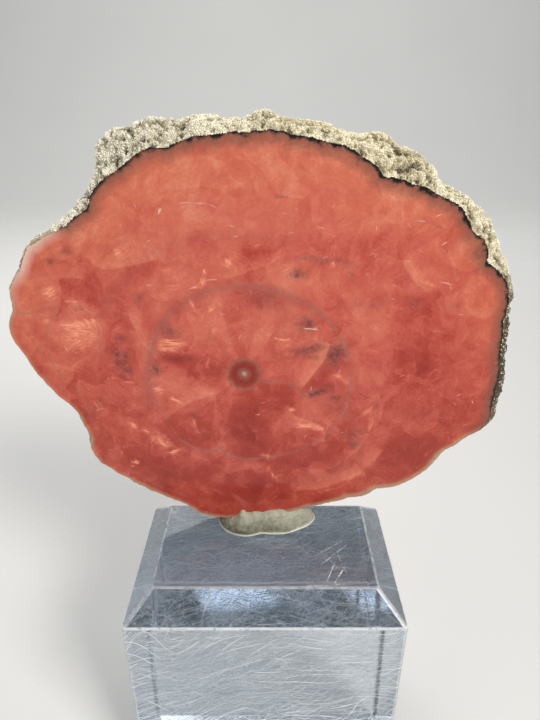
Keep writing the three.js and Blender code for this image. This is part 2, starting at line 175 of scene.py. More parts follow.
# Facet edges: brightness on the left of the way of travel, fading away from the edge, then the points.
FACET_EDGES = (
    (0.6, ((-24.6, 20.2), (-23.2, 19), (-20.5, 19.1), (-17.5, 19.7), (-14.5, 20.3))),
    (0.5, ((-30.8, 12.8), (-30.3, 15), (-30, 17.4), (-27, 17.2))),
    (1, ((10.4, -2.6), (12.5, 0.4), (14.1, 3.1), (15, 5.8))),
    (0.45, ((26.7, 21.6), (26.1, 20), (27.2, 18), (28.5, 16.3), (30.2, 15.2))),
    (0.25, ((34, 14.6), (33.6, 13.2), (34.4, 11.5), (36, 11), (37.5, 12), (37.6, 13.6), (36.6, 14.7))),
    (0.25, ((37.4, 17.4), (36.6, 14.4), (38, 11.4), (41, 10.5), (43, 12.4), (43.3, 15))),
    (0.3, ((33.2, 21.6), (34.3, 19.4), (36.8, 18.5), (39.2, 19.7))),
    (0.35, ((21.1, 32.4), (21.7, 30.5), (24, 29.7), (27, 30), (29.6, 30.4))),
    (0.5, ((9, -26.1), (14, -25.6), (19, -23.6), (23, -20.6), (25.8, -16.8))),
    (0.5, ((12.6, -22), (17, -20.2), (20.6, -17), (22.8, -13.6))),
    (0.3, ((-12.2, -7.3), (-8.6, -5.2), (-4.6, -4))),
    (0.4, ((-15.8, -10.4), (-13.8, -8.6), (-12.2, -7.3))),
    (0.22, ((-5.4, 13.4), (-5, 9.6), (-3.6, 6.2), (-2.2, 3.2))),
    (0.25, ((3.1, 3.4), (4.1, 6), (5.1, 9.2), (5, 13))),
    (0.6, ((14.6, -13.8), (14.4, -11.9), (12.6, -10.3), (10.4, -9.6), (8.8, -8.6), (7.9, -6.8))),
    (0.5, ((-19.4, 10.5), (-18, 6.5), (-15.8, 3))),
    (0.4, ((19, 26.5), (17.6, 23), (17.2, 20.5))),
    (0.5, ((-2.8, 17.2), (0.5, 18.4), (3.5, 19.4), (6, 20.8))),
    (0.4, ((4.2, -19.8), (3.6, -21.6), (4.6, -23.4), (6.8, -24.2))),
    (0.45, ((16.8, 8.6), (15.6, 6), (15, 5.8))),
    (0.4, ((-24.5, 9.5), (-25.2, 6.5), (-27.4, 3.6), (-30.5, 1.6))),
    (0.4, ((-9.4, 9.8), (-8.6, 7), (-9.8, 4.4))),
    (0.35, ((10.6, 30), (11, 27), (12.8, 24.4))),
    (0.35, ((24.5, -10.8), (25.2, -7.4), (24.2, -4.6))),
    (0.4, ((-10.8, 31), (-6.5, 31.8), (-2.5, 31.2), (0.5, 32))),
    (0.3, ((29, -3.4), (30.4, 0.2), (29.6, 3.8))),
)
# Crystal grains and growth zones with a plain edge: tone, softness of the edge in mm, then the outline.
ZONES = (
    (-0.2, 0.5, ((-1.8, -3.2), (-2.6, -5.5), (-3.2, -9), (-4.2, -13), (-4.6, -16.5), (-2.5, -18),
        (1.5, -18.4), (3.5, -15), (4.5, -11), (6, -9), (8.5, -7), (8.8, -4), (7.5, -2.4), (4, -2),
        (2.5, -1.5), (1.5, -3))),
    (0.1, 0.3, ((3.4, -1), (3, 1), (3.4, 3.4), (4.4, 6.2), (6.8, 6.4), (10, 6.2), (14.6, 5.6),
        (14.2, 3.4), (13, 1), (11.5, -1), (10.2, -2.4), (8, -2.6), (5.5, -1.9))),
    (0.07, 0.9, ((-3, 4), (0, 4.6), (3, 4), (4.4, 6.5), (5.4, 10), (4, 12.4), (-0.2, 11.6), (-4.6, 9.6))),
    (-0.1, 0.8, ((-1, 12.2), (4.2, 12.4), (6.6, 13.4), (5, 15.2), (0, 15.6), (-3, 14.6))),
    (0.08, 0.5, ((-3.4, 1.4), (-5, 6), (-8, 10.4), (-9.6, 11.5), (-14.8, 9.5), (-15.4, 5.4), (-12, 4.6),
        (-8.4, 3.4), (-5.4, 1.6))),
    (-0.2, 0.4, ((-3.4, 0), (-6.2, 1.6), (-10, 2.8), (-14.8, 3.6), (-15.6, 2.6), (-11.5, 0.8),
        (-9.6, -0.8), (-6, -3), (-4, -3.6))),
    (0.14, 0.5, ((-15.6, 1.2), (-11.4, 0.4), (-10.6, -2), (-12, -4.4), (-16, -5), (-17, -2))),
    (0.1, 0.4, ((-17, -6), (-12.2, -7.3), (-8.6, -5.3), (-5.2, -4.2), (-7.5, -3.2), (-10.4, -3),
        (-14, -4.4))),
    (-0.14, 0.4, ((-15.6, -9.6), (-12.2, -7.5), (-8.6, -5.5), (-5.4, -4.7), (-4.2, -7), (-4.8, -12),
        (-5.4, -15.6), (-7.5, -16.6), (-10, -15.8), (-13.4, -13), (-14.8, -11))),
    (-0.12, 0.3, ((8.6, -11.6), (11, -12), (13.2, -11.8), (14, -13.2), (12.6, -14.8), (9.6, -15),
        (8, -13.4))),
    (0.12, 0.4, ((10.4, -4.4), (13, -6), (16.5, -5.8), (19, -6.4), (18.6, -9), (16, -11.4), (13.6, -9.6),
        (12, -7.2))),
    (-0.2, 0.25, ((10.7, -2.9), (12.8, -0.4), (14.5, 1), (15.2, -0.6), (15.6, -2.8), (13, -3))),
    (0.08, 0.4, ((-34.2, 9.8), (-30, 9.8), (-25, 9.9), (-24, 8), (-25.5, 5), (-28, 2.5), (-31, 0),
        (-33.5, 1.5), (-34.8, 5))),
    (-0.09, 0.4, ((-30.4, 17.4), (-26.8, 17.4), (-24.4, 19.6), (-20, 19.2), (-15, 20), (-12, 21.3),
        (-14, 19), (-17.5, 15.5), (-20, 12.8), (-23.6, 11.8), (-27, 12.4), (-30.4, 12.8))),
    (0.12, 0.3, ((-24.8, 20.2), (-23, 19.2), (-19, 19.4), (-15.5, 20.2), (-12, 22.2), (-14, 24.4),
        (-19, 24.6), (-24, 23))),
    (0.12, 0.9, ((-27, 23.4), (-20, 30.4), (-12, 34.6), (-5, 37.2), (-1, 37.6), (-1, 35), (-8, 33),
        (-14, 30.4), (-20, 25.4), (-24.6, 21.4))),
    (0.05, 0.4, ((-39, 12), (-34.6, 11.4), (-31.2, 13), (-31, 18), (-32.5, 21.5), (-36, 19),
        (-38.4, 15.6))),
    (-0.08, 0.5, ((-24, 9), (-20.2, 11), (-18.8, 6), (-19.6, 0), (-22, -3), (-26, 0), (-27, 4))),
    (0.07, 0.5, ((-19.4, 9), (-17.6, 8.4), (-16.8, 3), (-17, -2), (-18.4, -5), (-20.4, -5), (-19.8, 1))),
    (0.08, 0.5, ((-20, 12.6), (-17, 15.8), (-13.4, 19), (-9.6, 18.4), (-9, 14.4), (-12, 11.8),
        (-15.6, 9.6), (-19, 9))),
    (-0.1, 0.4, ((-6.5, 22.4), (-1, 19.8), (4.8, 21.4), (5.2, 23.6), (1, 24.4), (-4, 24.2))),
    (0.1, 0.25, ((26.4, 21.2), (28.5, 20.8), (32.6, 17.6), (33, 15.4), (31, 15.2), (29.6, 15.4),
        (28.4, 16.5), (27.1, 18.2), (26.1, 20))),
    (0.09, 0.4, ((33.6, 20), (35, 23), (37.5, 23.6), (39.4, 21.4), (38.6, 19.4), (35.6, 18.4))),
    (0.07, 0.4, ((36.6, 17.4), (40.5, 17), (43, 14.5), (42.8, 11.4), (40, 10.4), (37.4, 12),
        (36.4, 14.6))),
    (0.05, 0.3, ((33.8, 14.5), (36, 14.8), (37.4, 13.4), (37.2, 11.8), (35.6, 11.1), (34.2, 11.9))),
    (-0.08, 1.4, ((26.5, 13.8), (32, 13.4), (37, 10), (39.5, 5), (39, 0), (34, -3), (29, -2), (26.4, 3),
        (25.6, 9))),
    (0.08, 0.6, ((20.2, 26), (21.6, 31.4), (25.6, 31.4), (30, 29.4), (33.2, 26.4), (30, 25.6),
        (25.5, 24.2), (22, 24.4))),
    (0.1, 0.8, ((17.8, 13), (19.5, 16), (24, 15.6), (25.6, 11), (24.6, 5.8), (21, 4.6), (18.6, 8.6))),
    (0.07, 0.3, ((12.6, 24), (15.8, 30), (17.8, 27), (17.2, 21.6), (13.4, 21.6))),
    (0.1, 0.5, ((-23, -9), (-20.5, -10), (-17, -13.4), (-13.5, -15.6), (-12.4, -17.4), (-14.5, -18.4),
        (-17.4, -16.4), (-20, -13.4), (-23, -11))),
    (-0.14, 0.6, ((-24, -14), (-19, -16.2), (-16, -18.8), (-11, -19.2), (-5, -18.8), (-5, -21.6),
        (-11, -23.5), (-17, -22.5), (-22, -20))),
    (0.14, 0.25, ((9, -26), (14, -25.5), (19, -23.5), (23, -20.5), (25.4, -17), (22.4, -14), (20.4, -17),
        (17, -20.3), (13, -22), (9, -23.6))),
    (-0.07, 0.8, ((25.6, -6), (30, -6), (34, -9), (35.4, -15), (34, -19.4), (30, -22.4), (25.5, -22.4),
        (24.2, -20), (26.2, -16))),
    (0.08, 0.4, ((21, -6), (25, -5), (24.6, -10), (22.6, -13), (20.4, -10.4))),
    (-0.08, 0.4, ((3.6, -19.4), (7.8, -18.6), (8.4, -22.6), (6.4, -25), (4, -23))),
)
# Sprays of cleavage, painted as reflections: apex x and z, direction and half spread in degrees,
# length and strength.
SPRAYS = (
    (-24, 9.9, 187, 9, 9.5, 1), (-24, 9.9, 205, 12, 10.5, 0.75), (-24, 9.9, 226, 12, 10, 0.55),
    (-24.2, 12.8, 182, 7, 6.5, 0.55), (-16, 4.4, 12, 14, 7, 0.7), (14.2, -12.2, 158, 14, 5.5, 0.6),
    (-14.2, 22.6, 196, 16, 7.5, 0.4), (15.5, 12, 93, 12, 18, 0.22), (3.2, 29, 100, 16, 8, 0.2),
    (25.6, 21.6, -52, 14, 8, 0.35), (18.6, -23.8, 26, 10, 6, 0.5), (-3.2, 11.2, 112, 14, 6.5, 0.4),
    (22.6, -13, 84, 12, 7, 0.45), (-12, -17.6, 138, 12, 12, 0.45), (39.5, 15.5, 210, 30, 5, 0.2),
    (0.5, 2.8, 88, 26, 8, 0.25), (3, 1.6, 32, 16, 10, 0.3), (-9, -9, 265, 12, 6, 0.35),
)
# Scratches in the polish: x, z, half length, tilt in degrees and strength.
SCRATCHES = (
    (11.3, 8.4, 1.1, -5, 1), (-12.9, 28, 0.4, 62, 0.9), (-12.6, 28.5, 0.25, -30, 0.5),
    (-8.8, 29.4, 0.9, 4, 0.4), (-6.4, 29.3, 0.8, -3, 0.4), (-4.4, 28.9, 0.5, -30, 0.4),
    (11.8, -3, 0.25, 80, 1), (2.2, -8.6, 0.22, 0, 0.8), (3.1, -6.1, 0.3, 0, 0.35),
    (-5.2, 17.1, 0.9, 2, 0.5), (30.8, 27.5, 0.5, 25, 0.7), (28.2, 26.6, 0.7, -8, 0.45),
    (32.3, 23.1, 0.35, 35, 0.9), (27, 20.2, 0.4, -5, 0.4), (33.5, 16.5, 0.9, -14, 0.6),
    (34.3, 15.8, 0.3, -50, 0.5), (12.4, 25.6, 0.35, -10, 0.5), (7.8, 24.8, 0.3, 0, 0.4),
    (24.9, 13.8, 0.2, 0, 0.5), (41.4, -6, 0.3, -60, 0.8), (40.7, -10.8, 0.22, 30, 0.6),
    (38.6, -4.5, 0.3, 20, 0.5), (28, -0.6, 0.25, 20, 0.5), (31, -1, 0.22, -20, 0.4),
    (-8.4, 15.7, 0.6, 14, 0.5), (-1.6, 25.8, 0.35, -20, 0.5), (-1, 24.2, 0.25, 10, 0.5),
    (-15.4, 16.2, 0.5, 8, 0.3), (14.2, 28.8, 0.3, 60, 0.4), (6.6, 27.8, 0.35, -8, 0.3),
    (23.6, 32.2, 0.35, 8, 0.4), (17.4, 17.8, 0.25, -60, 0.3), (22.6, 8.6, 0.3, 20, 0.25),
    (36.8, 11, 0.5, -4, 0.3), (14, -23.5, 0.3, 30, 0.4), (-20.4, 22, 0.4, 20, 0.4),
)
STRAY_SCRATCHES = 70  # smaller ones, strewn by chance
FAR = 99.0  # mm, further off than any mark
DRAWN_HALF = 0.2  # mm, half the width of a growth line in the material
# Along the rim, by angle from +x: width of the black oxide seam and of the beige skin, both in mm,
# how thick the granular rind lies, how golden it is, and how much of it is bare black oxide.
RIM_LOOK = (
    (0, 0.35, 0, 0.62, 0.9, 0.9), (8, 0.35, 0, 0.62, 0.9, 0.9), (17, 0.35, 0, 0.75, 0.7, 0.6),
    (24, 0.5, 0, 1, 0.5, 0), (45, 0.6, 0, 1, 0.6, 0), (60, 0.55, 0, 1, 0.7, 0), (80, 0.6, 0, 1, 0.6, 0),
    (95, 0.5, 0, 1, 0.4, 0), (110, 0.42, 0, 1, 0.15, 0), (125, 0.35, 0, 1, 0.1, 0),
    (137, 0.3, 0.1, 1, 0.1, 0), (142, 0, 0.3, 0.7, 0.3, 0), (160, 0, 0.25, 0.45, 0.4, 0),
    (185, 0, 0.2, 0.45, 0.5, 0), (215, 0, 0.2, 0.45, 0.5, 0), (245, 0, 0.3, 0.45, 0.5, 0),
    (280, 0, 0.3, 0.45, 0.5, 0), (300, 0, 0.5, 0.45, 0.5, 0), (312, 0, 0.9, 0.45, 0.5, 0),
    (325, 0, 0.55, 0.45, 0.5, 0), (340, 0, 0.45, 0.5, 0.6, 0), (347, 0.25, 0.2, 0.55, 0.8, 0.6),
    (355, 0.35, 0, 0.6, 0.9, 0.9), (360, 0.35, 0, 0.62, 0.9, 0.9),
)
FROST = (149.0, 9.0)  # where round the rim the bare crystal shows whitish, and over how many degrees
# The eye at the growth centre, by share of its reach in mm: a cream dot, a grey halo, a dark red ring
# and a thin grey line.
EYE_REACH = 4.0
EYE_COLOURS = (
    (0.02, "#C4B8A0"), (0.09, "#A8826E"), (0.16, "#945446"), (0.3, "#903C32"), (0.4, "#87261C"),
    (0.6, "#983424"), (0.72, "#96584A"), (0.82, "#A9503F"),
)
# Families of scratches in the block: slope on the front face in degrees, lean to the back, bend, spacing
# and half width in mm, how much of each is missing, and brightness. Real hairlines are finer than a
# pixel, so these are drawn wider than life.
HAIRLINES = (
    (12, 0.5, 0.006, 0.5, 0.04, 0.46, 0.55), (-9, -0.6, 0.004, 0.6, 0.04, 0.48, 0.5),
    (32, 0.4, -0.005, 0.8, 0.04, 0.48, 0.55), (64, 0.3, 0.003, 1.3, 0.04, 0.5, 0.45),
    (-38, -0.5, -0.004, 1.1, 0.04, 0.5, 0.45), (20, -0.7, 0.009, 2.4, 0.05, 0.5, 1.0),
    (-4, 0.8, -0.007, 2.9, 0.05, 0.53, 1.0), (48, 0.9, 0.004, 4.1, 0.05, 0.54, 1.0),
    (-58, 0.6, 0.006, 4.7, 0.045, 0.56, 0.85),
)
# Deeper scuffs on the block's top, in mm from its middle: x, y, half length, tilt, half width, strength.
SCUFFS = (
    (10.8, -10.6, 5.0, 3, 0.16, 0.7), (12.3, -7.4, 3.1, 67, 0.1, 0.8), (13.6, -8.6, 2.5, 59, 0.14, 0.9),
    (13.0, -1.1, 4.2, 35, 0.06, 0.7), (13.6, -2.9, 5.0, 43, 0.07, 0.7),
    (12.5, -4.7, 2.9, -60, 0.05, 0.6), (-22.7, -4.9, 1.5, 48, 0.14, 0.9),
    (-21.6, -5.4, 1.3, 44, 0.1, 0.7), (9.5, -2.5, 1.8, -35, 0.05, 0.6),
    (-15.7, -5.3, 2.7, -16, 0.05, 0.5), (14.6, -5.4, 3.6, -77, 0.06, 0.6),
    (-3.9, -0.2, 3.2, 12, 0.05, 0.5),
)

# Softboxes: name, place and target in metres, size, the setting with its power, colour, and spread in
# degrees. The key's narrow spread keeps its light off the floor in front.
SPECIMEN_MIDDLE = (0, 0, 0.09)
SOFTBOXES = (
    ("key_softbox", (0.24, -0.27, 0.37), SPECIMEN_MIDDLE, (0.16, 0.16), "key_power", (1.0, 0.97, 0.93),
     75),
    ("fill_softbox", (-0.45, -0.3, 0.3), SPECIMEN_MIDDLE, (0.35, 0.35), "fill_power", (0.95, 0.97, 1.0),
     180),
    ("back_softbox", (-0.15, 0.35, 0.4), SPECIMEN_MIDDLE, (0.3, 0.2), "fill_power", (1.0, 1.0, 1.0), 180),
    ("backdrop_softbox", (0, 0.3, 0.7), (0, 1.1, 0.1), (0.8, 0.3), "backdrop_power", (1.0, 1.0, 1.0),
     180),
)
# The floor in metres: half its width, where it starts to rise, the bend's radius, its height at the
# back, and how far it lies below the block, so that light gets between them as it does in life.
FLOOR_HALF, FLOOR_BACK, FLOOR_BEND, FLOOR_RISE, FLOOR_GAP = 2.0, 0.7, 0.5, 1.4, 0.2 * MM
FLOOR_BEND_STEPS = 14


# Properties
def linear(colour):
    """The linear RGBA of an sRGB colour written as #RRGGBB."""
    shares = [int(colour[k : k + 2], 16) / 255 for k in (1, 3, 5)]
    return tuple(s / 12.92 if s <= 0.04045 else ((s + 0.055) / 1.055) ** 2.4 for s in shares) + (1.0,)


def colour_setting(name, description, value):
    """A property for a colour that a user would change, from its sRGB value."""
    return bpy.props.FloatVectorProperty(
        name=name, description=description, default=linear(value), subtype="COLOR", size=4, min=0, max=1)


class SliceSettings(bpy.types.PropertyGroup):
    """Sizes and colours of the polished slice."""

    steps_round: bpy.props.IntProperty(
        name="Steps round", description="Points along the rim, best a multiple of 64", default=1152, min=240)
    face_step: bpy.props.FloatProperty(
        name="Face step", description="Distance between the face's rings", default=0.36 * MM,
        unit="LENGTH")
    back_step: bpy.props.FloatProperty(
        name="Back step", description="Distance between the rings of the back", default=0.72 * MM,
        unit="LENGTH")
    rim_rings: bpy.props.IntProperty(
        name="Rim rings", description="Rings between the two polished faces", default=30, min=8)
    rind_lump: bpy.props.FloatProperty(
        name="Rind lumps", description="How far the rind's small lumps stand out", default=0.3 * MM,
        unit="LENGTH")
    rind_grit: bpy.props.FloatProperty(
        name="Rind grit", description="How far the rind's grit stands out", default=0.2 * MM,
        unit="LENGTH")
    edge_chips: bpy.props.FloatProperty(
        name="Edge chips", description="Unevenness of the polished face's outline", default=0.12 * MM,
        unit="LENGTH")
    deep: colour_setting("Deep red", "The darkest clear crystal", "#8F2A22")
    red: colour_setting("Red", "The dark side of the usual body colour", "#AB4033")
    rose: colour_setting("Rose", "The usual body colour", "#C15A4B")
    salmon: colour_setting("Salmon", "The lighter, milkier zones", "#CF705A")
    blush: colour_setting("Blush", "The palest zones", "#DC8C72")
    # The glint colours paint reflections of the cleavage planes
    glint: colour_setting("Glint", "Cleavage planes that catch the light", "#E98D6E")
    painted_flash: colour_setting("Flash", "The brightest of the glints", "#F6B998")
    smoke: colour_setting("Smoke", "Grey manganese inclusions", "#663A38")
    mauve: colour_setting("Mauve", "Broad growth bands", "#A1524A")
    line: colour_setting("Growth line", "Thin growth lines", "#96655A")
    oxide: colour_setting("Oxide seam", "Black seam under the rind", "#14100E")
    brown: colour_setting("Oxide stain", "Brown stain beside the seam", "#7B5142")
    skin: colour_setting("Skin", "Beige skin along the bare rim", "#B48E70")
    frost: colour_setting("Frost", "Whitish crystal along the bare rim", "#E6C4B6")


class RindSettings(bpy.types.PropertyGroup):
    """Sizes and colours of the granular rind."""

    grain: bpy.props.FloatProperty(
        name="Grain", description="Length of a usual grain", default=0.27 * MM, unit="LENGTH")
    spacing: bpy.props.FloatProperty(
        name="Spacing", description="Least distance between grains", default=0.17 * MM, unit="LENGTH")
    density: bpy.props.FloatProperty(
        name="Density", description="Grains to a square metre where the rind is thickest", default=3.2e7)
    seed: bpy.props.IntProperty(name="Seed", description="Which scatter of grains", default=7)
    # On the grains, the shaded colours are painted shade in the hollows, and the pale ones partly painted
    # light on the crests
    pale: colour_setting("Pale grain", "The lightest grains", "#F0EBDA")
    tan: colour_setting("Tan grain", "The usual grains", "#BDB59E")
    gold: colour_setting("Golden grain", "Grains stained by iron", "#CBB883")
    crevice: colour_setting("Crevice", "The rind between the grains", "#8A8270")
    # The hollow and crest colours are painted shade and painted light on the rind's relief
    hollow: colour_setting("Hollow", "The rind's deepest hollows", "#2B2622")
    crest: colour_setting("Crest", "The rind's bare crests", "#BDB5A0")
    shaded: colour_setting("Shaded grain", "Tan grains in the hollows", "#554F40")
    shaded_gold: colour_setting("Shaded gold", "Golden grains in the hollows", "#655733")
    pale_gold: colour_setting("Pale gold", "The lightest golden grains", "#F1E7C4")
    bare_deep: colour_setting("Deep skin", "The darkest skin along the lower rim", "#8E6B58")
    bare: colour_setting("Bare skin", "The usual skin along the lower rim", "#B5937A")
    bare_pale: colour_setting("Pale skin", "The lightest skin along the lower rim", "#D2BC9C")
    black: colour_setting("Bare oxide", "Black oxide with no rind on it", "#1E1813")
    stained: colour_setting("Stained grain", "Grains on the black oxide", "#3A2E1F")


class PuttySettings(bpy.types.PropertyGroup):
    """Sizes and colours of the mineral putty."""

    voxel: bpy.props.FloatProperty(
        name="Voxel", description="Fineness of the putty's mesh", default=0.16 * MM, unit="LENGTH")
    dent: bpy.props.FloatProperty(
        name="Dents", description="Depth of the thumb's dents", default=0.22 * MM, unit="LENGTH")
    wrinkle: bpy.props.FloatProperty(
        name="Wrinkles", description="Depth of the small wrinkles", default=0.07 * MM, unit="LENGTH")
    lip: bpy.props.FloatProperty(
        name="Lip", description="How far the smeared foot spreads", default=0.28 * MM, unit="LENGTH")
    light: colour_setting("Putty", "The clean putty", "#A3A18E")
    # The smudge colour follows random blotches and grows stronger towards the bottom and the left
    smudge: colour_setting("Smudge", "Dirt worked into the putty", "#5C5645")
    speck: colour_setting("Speck", "Dark specks in the putty", "#57503F")
    cream: colour_setting("Cream foot", "The thin smeared foot", "#EDE9D6")


class BlockSettings(bpy.types.PropertyGroup):
    """Sizes and colours of the acrylic block."""

    edge: bpy.props.FloatProperty(
        name="Edge round", description="Rounding of the polished edges", default=0.3 * MM, unit="LENGTH")
    tint: colour_setting("Tint", "Colour of the clear acrylic", "#F4F8FA")
    scratch: colour_setting("Scratch", "Colour of the scratches", "#F6F8FA")
    soak: colour_setting("Soak", "Colour that the depth of acrylic lets through", "#BAC8D8")
    soak_density: bpy.props.FloatProperty(
        name="Soak density", description="Strength of the absorption", default=20.0)


class StageSettings(bpy.types.PropertyGroup):
    """Camera, floor and lights."""

    camera_place: bpy.props.FloatVectorProperty(
        name="Camera", description="Where the camera stands", default=(0.9 * MM, -82.0 * MM, 129.4 * MM),
        unit="LENGTH")
    camera_pitch: bpy.props.FloatProperty(
        name="Pitch", description="How far down the camera looks", default=math.radians(25.1),
        unit="ROTATION")
    camera_lens: bpy.props.FloatProperty(
        name="Lens", description="Focal length on a 36 mm film", default=27.0, unit="CAMERA")
    floor: colour_setting("Floor", "Colour of the floor", "#DEDDDA")
    key_power: bpy.props.FloatProperty(
        name="Key light", description="Power of the main softbox", default=0.35, unit="POWER")
    fill_power: bpy.props.FloatProperty(
        name="Fill light", description="Power of the fill softbox", default=0.45, unit="POWER")
    backdrop_power: bpy.props.FloatProperty(
        name="Backdrop light", description="Power of the softbox on the sweep behind", default=4.0,
        unit="POWER")
    room: colour_setting("Room", "Colour of the room's even light", "#E6E8EA")
    world_light: bpy.props.FloatProperty(
        name="Room light", description="Strength of the room's even light", default=0.5)


# Helpers
def add(tree, kind, inputs=None, stops=(), **settings):
    """Adds a node, sets its properties, and links or sets its inputs, given by name or number.

    A kind without the word Node is a shader's. Stops are a colour ramp's, each a place and a linear
    colour."""
    made = tree.nodes.new(kind if "Node" in kind else "ShaderNode" + kind)
    while len(stops) > 2 and len(made.color_ramp.elements) < len(stops):
        made.color_ramp.elements.new(1.0)
    for k, (place, colour) in enumerate(stops):
        made.color_ramp.elements[k].position = place
        made.color_ramp.elements[k].color = colour
    for name, value in settings.items():
        setattr(made, name, value)
    for key, value in (inputs or {}).items():
        if isinstance(value, bpy.types.NodeSocket):
            tree.links.new(value, made.inputs[key])
        else:
            made.inputs[key].default_value = value
    return made


def new_material(name):
    """An empty node material and its tree."""
    material = bpy.data.materials.new(name)
    material.use_nodes = True
    material.node_tree.nodes.clear()
    return material, material.node_tree


def lattice_noise(points, cell, seed):
    """Smooth noise from -1 to 1 at an array of points, with a new value every cell."""
    size = 32
    table = np.random.default_rng(seed).random((size, size, size)) * 2 - 1
    place = points / cell
    corner = np.floor(place).astype(int)
    share = place - corner
    share = share * share * (3 - 2 * share)
    total = np.zeros(len(points))
    for dx in (0, 1):
        for dy in (0, 1):
            for dz in (0, 1):
                weight = np.ones(len(points))
                for axis, step in enumerate((dx, dy, dz)):
                    weight *= share[:, axis] if step else 1 - share[:, axis]
                index = (corner + (dx, dy, dz)) % size
                total += weight * table[index[:, 0], index[:, 1], index[:, 2]]
    return total


def put_attribute(mesh, name, values):
    """Writes one number, or one vector, to each point of a mesh."""
    values = np.asarray(values, np.float32)
    kind = "FLOAT" if values.ndim == 1 else "FLOAT_VECTOR"
    attribute = mesh.attributes.new(name, kind, "POINT")
    attribute.data.foreach_set("value" if values.ndim == 1 else "vector", values.ravel())


def new_piece(name, vertices, faces):
    """A mesh object at the origin, linked to the scene."""
    mesh = bpy.data.meshes.new(name)
    mesh.from_pydata([tuple(v) for v in vertices], [], faces)
    mesh.update()
    piece = bpy.data.objects.new(name, mesh)
    bpy.context.scene.collection.objects.link(piece)
    return piece


def merged_copy(node, name):
    """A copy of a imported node's mesh with its doubled points merged."""
    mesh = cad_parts[node].data.copy()
    mesh.name = name
    mesh.materials.clear()
    form = bmesh.new()
    form.from_mesh(mesh)
    bmesh.ops.remove_doubles(form, verts=form.verts, dist=1e-6)
    form.to_mesh(mesh)
    form.free()
    piece = bpy.data.objects.new(name, mesh)
    bpy.context.scene.collection.objects.link(piece)
    return piece


def baked(piece):
    """Replaces a piece's mesh by what its modifiers make of it."""
    graph = bpy.context.evaluated_depsgraph_get()
    graph.update()
    mesh = bpy.data.meshes.new_from_object(piece.evaluated_get(graph), preserve_all_data_layers=True,
                                           depsgraph=graph)
    piece.modifiers.clear()
    piece.data = mesh
    return piece


def vertex_array(mesh):
    """A mesh's points as an array with one row each."""
    places = np.empty(len(mesh.vertices) * 3)
    mesh.vertices.foreach_get("co", places)
    return places.reshape(-1, 3)


def curve(places, steps):
    """Places on a smooth curve through all but the first and the last of an array of places."""
    out = []
    for a, b, c, d in zip(places, places[1:], places[2:], places[3:]):
        for t in np.arange(steps) / steps:
            out.append(0.5 * (2 * b + (c - a) * t + (2 * a - 5 * b + 4 * c - d) * t**2
                              + (3 * b - a - 3 * c + d) * t**3))
    return out


def open_line(points, steps=8):
    """A smooth open line through given points."""
    places = np.array([points[0], *points, points[-1]], float)
    return np.array(curve(places, steps) + [places[-1]])


def closed_line(points, steps=5):
    """A smooth closed line through given points."""
    places = np.array([points[-1], *points, points[0], points[1]], float)
    return np.array(curve(places, steps))


def to_line(x, z, points):
    """Signed distance to a drawn line, positive on its left, and how far past its ends."""
    line = open_line(points)
    nearest = np.full(len(x), 1e9)
    signed = np.full(len(x), 1e9)
    past = np.zeros(len(x))
    last = len(line) - 2
    for k, (start, end) in enumerate(zip(line, line[1:])):
        way = end - start
        length = np.hypot(*way) + 1e-9
        along = ((x - start[0]) * way[0] + (z - start[1]) * way[1]) / length
        side = ((z - start[1]) * way[0] - (x - start[0]) * way[1]) / length
        held = np.clip(along, 0, length)
        distance = np.hypot(along - held, side)
        closer = distance < nearest
        nearest = np.where(closer, distance, nearest)
        signed = np.where(closer, np.where(side < 0, -distance, distance), signed)
        before = np.where(k == 0, np.maximum(-along, 0), 0)
        beyond = np.where(k == last, np.maximum(along - length, 0), 0)
        past = np.where(closer, before + beyond, past)
    return signed, past


# The slice
def slice_rings(steps):
    """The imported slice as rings: its growth centre, the rings' depths, even angles, and the radii there."""
    places = vertex_array(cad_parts[SLICE_NODE].data)
    depths = np.unique(np.round(places[:, 1], 6))
    depths = depths[np.insert(np.diff(depths) > SAME_RING, 0, True)]
    front = places[np.abs(places[:, 1] - depths[0]) < SAME_RING]
    eye = front[np.argmin(np.hypot(front[:, 0] - front[:, 0].mean(), front[:, 2] - front[:, 2].mean()))]
    angles = np.arange(steps) * 2 * math.pi / steps
    rings = []
    for depth in depths:
        ring = places[np.abs(places[:, 1] - depth) < SAME_RING]
        across, up = ring[:, 0] - eye[0], ring[:, 2] - eye[2]
        radius = np.hypot(across, up)
        on_rim = radius > 5 * MM
        turn = np.mod(np.arctan2(up, across)[on_rim], 2 * math.pi)
        order = np.argsort(turn)
        rings.append(np.interp(angles, turn[order], radius[on_rim][order], period=2 * math.pi))
    rings = np.array(rings)
    for _ in range(3):
        rings = (np.roll(rings, 1, axis=1) + 2 * rings + np.roll(rings, -1, axis=1)) / 4
    return eye, depths, angles, rings


def bridge(outer, inner):
    """Faces between two closed rings of indices. The inner one has as many points, or half as many."""
    n = len(inner)
    if len(outer) == n:
        return [(outer[k], outer[(k + 1) % n], inner[(k + 1) % n], inner[k]) for k in range(n)]
    faces = []
    for k in range(n):
        a, b, c = outer[2 * k], outer[2 * k + 1], outer[(2 * k + 2) % len(outer)]
        d, e = inner[k], inner[(k + 1) % n]
        faces += [(a, b, d), (b, e, d), (b, c, e)]
    return faces


def face_rings(radii, step):
    """Shares of the radius for a polished face's rings, and each ring's number of points."""
    mean = radii.mean()
    shares = 1 - np.arange(1, int(mean / step)) / int(mean / step)
    points = []
    for share in shares:
        n = points[-1] if points else len(radii)
        crowded = 2 * math.pi * mean * share / n < 0.9 * step
        points.append(n // 2 if crowded and n > 18 and n % 2 == 0 else n)
    return shares, points


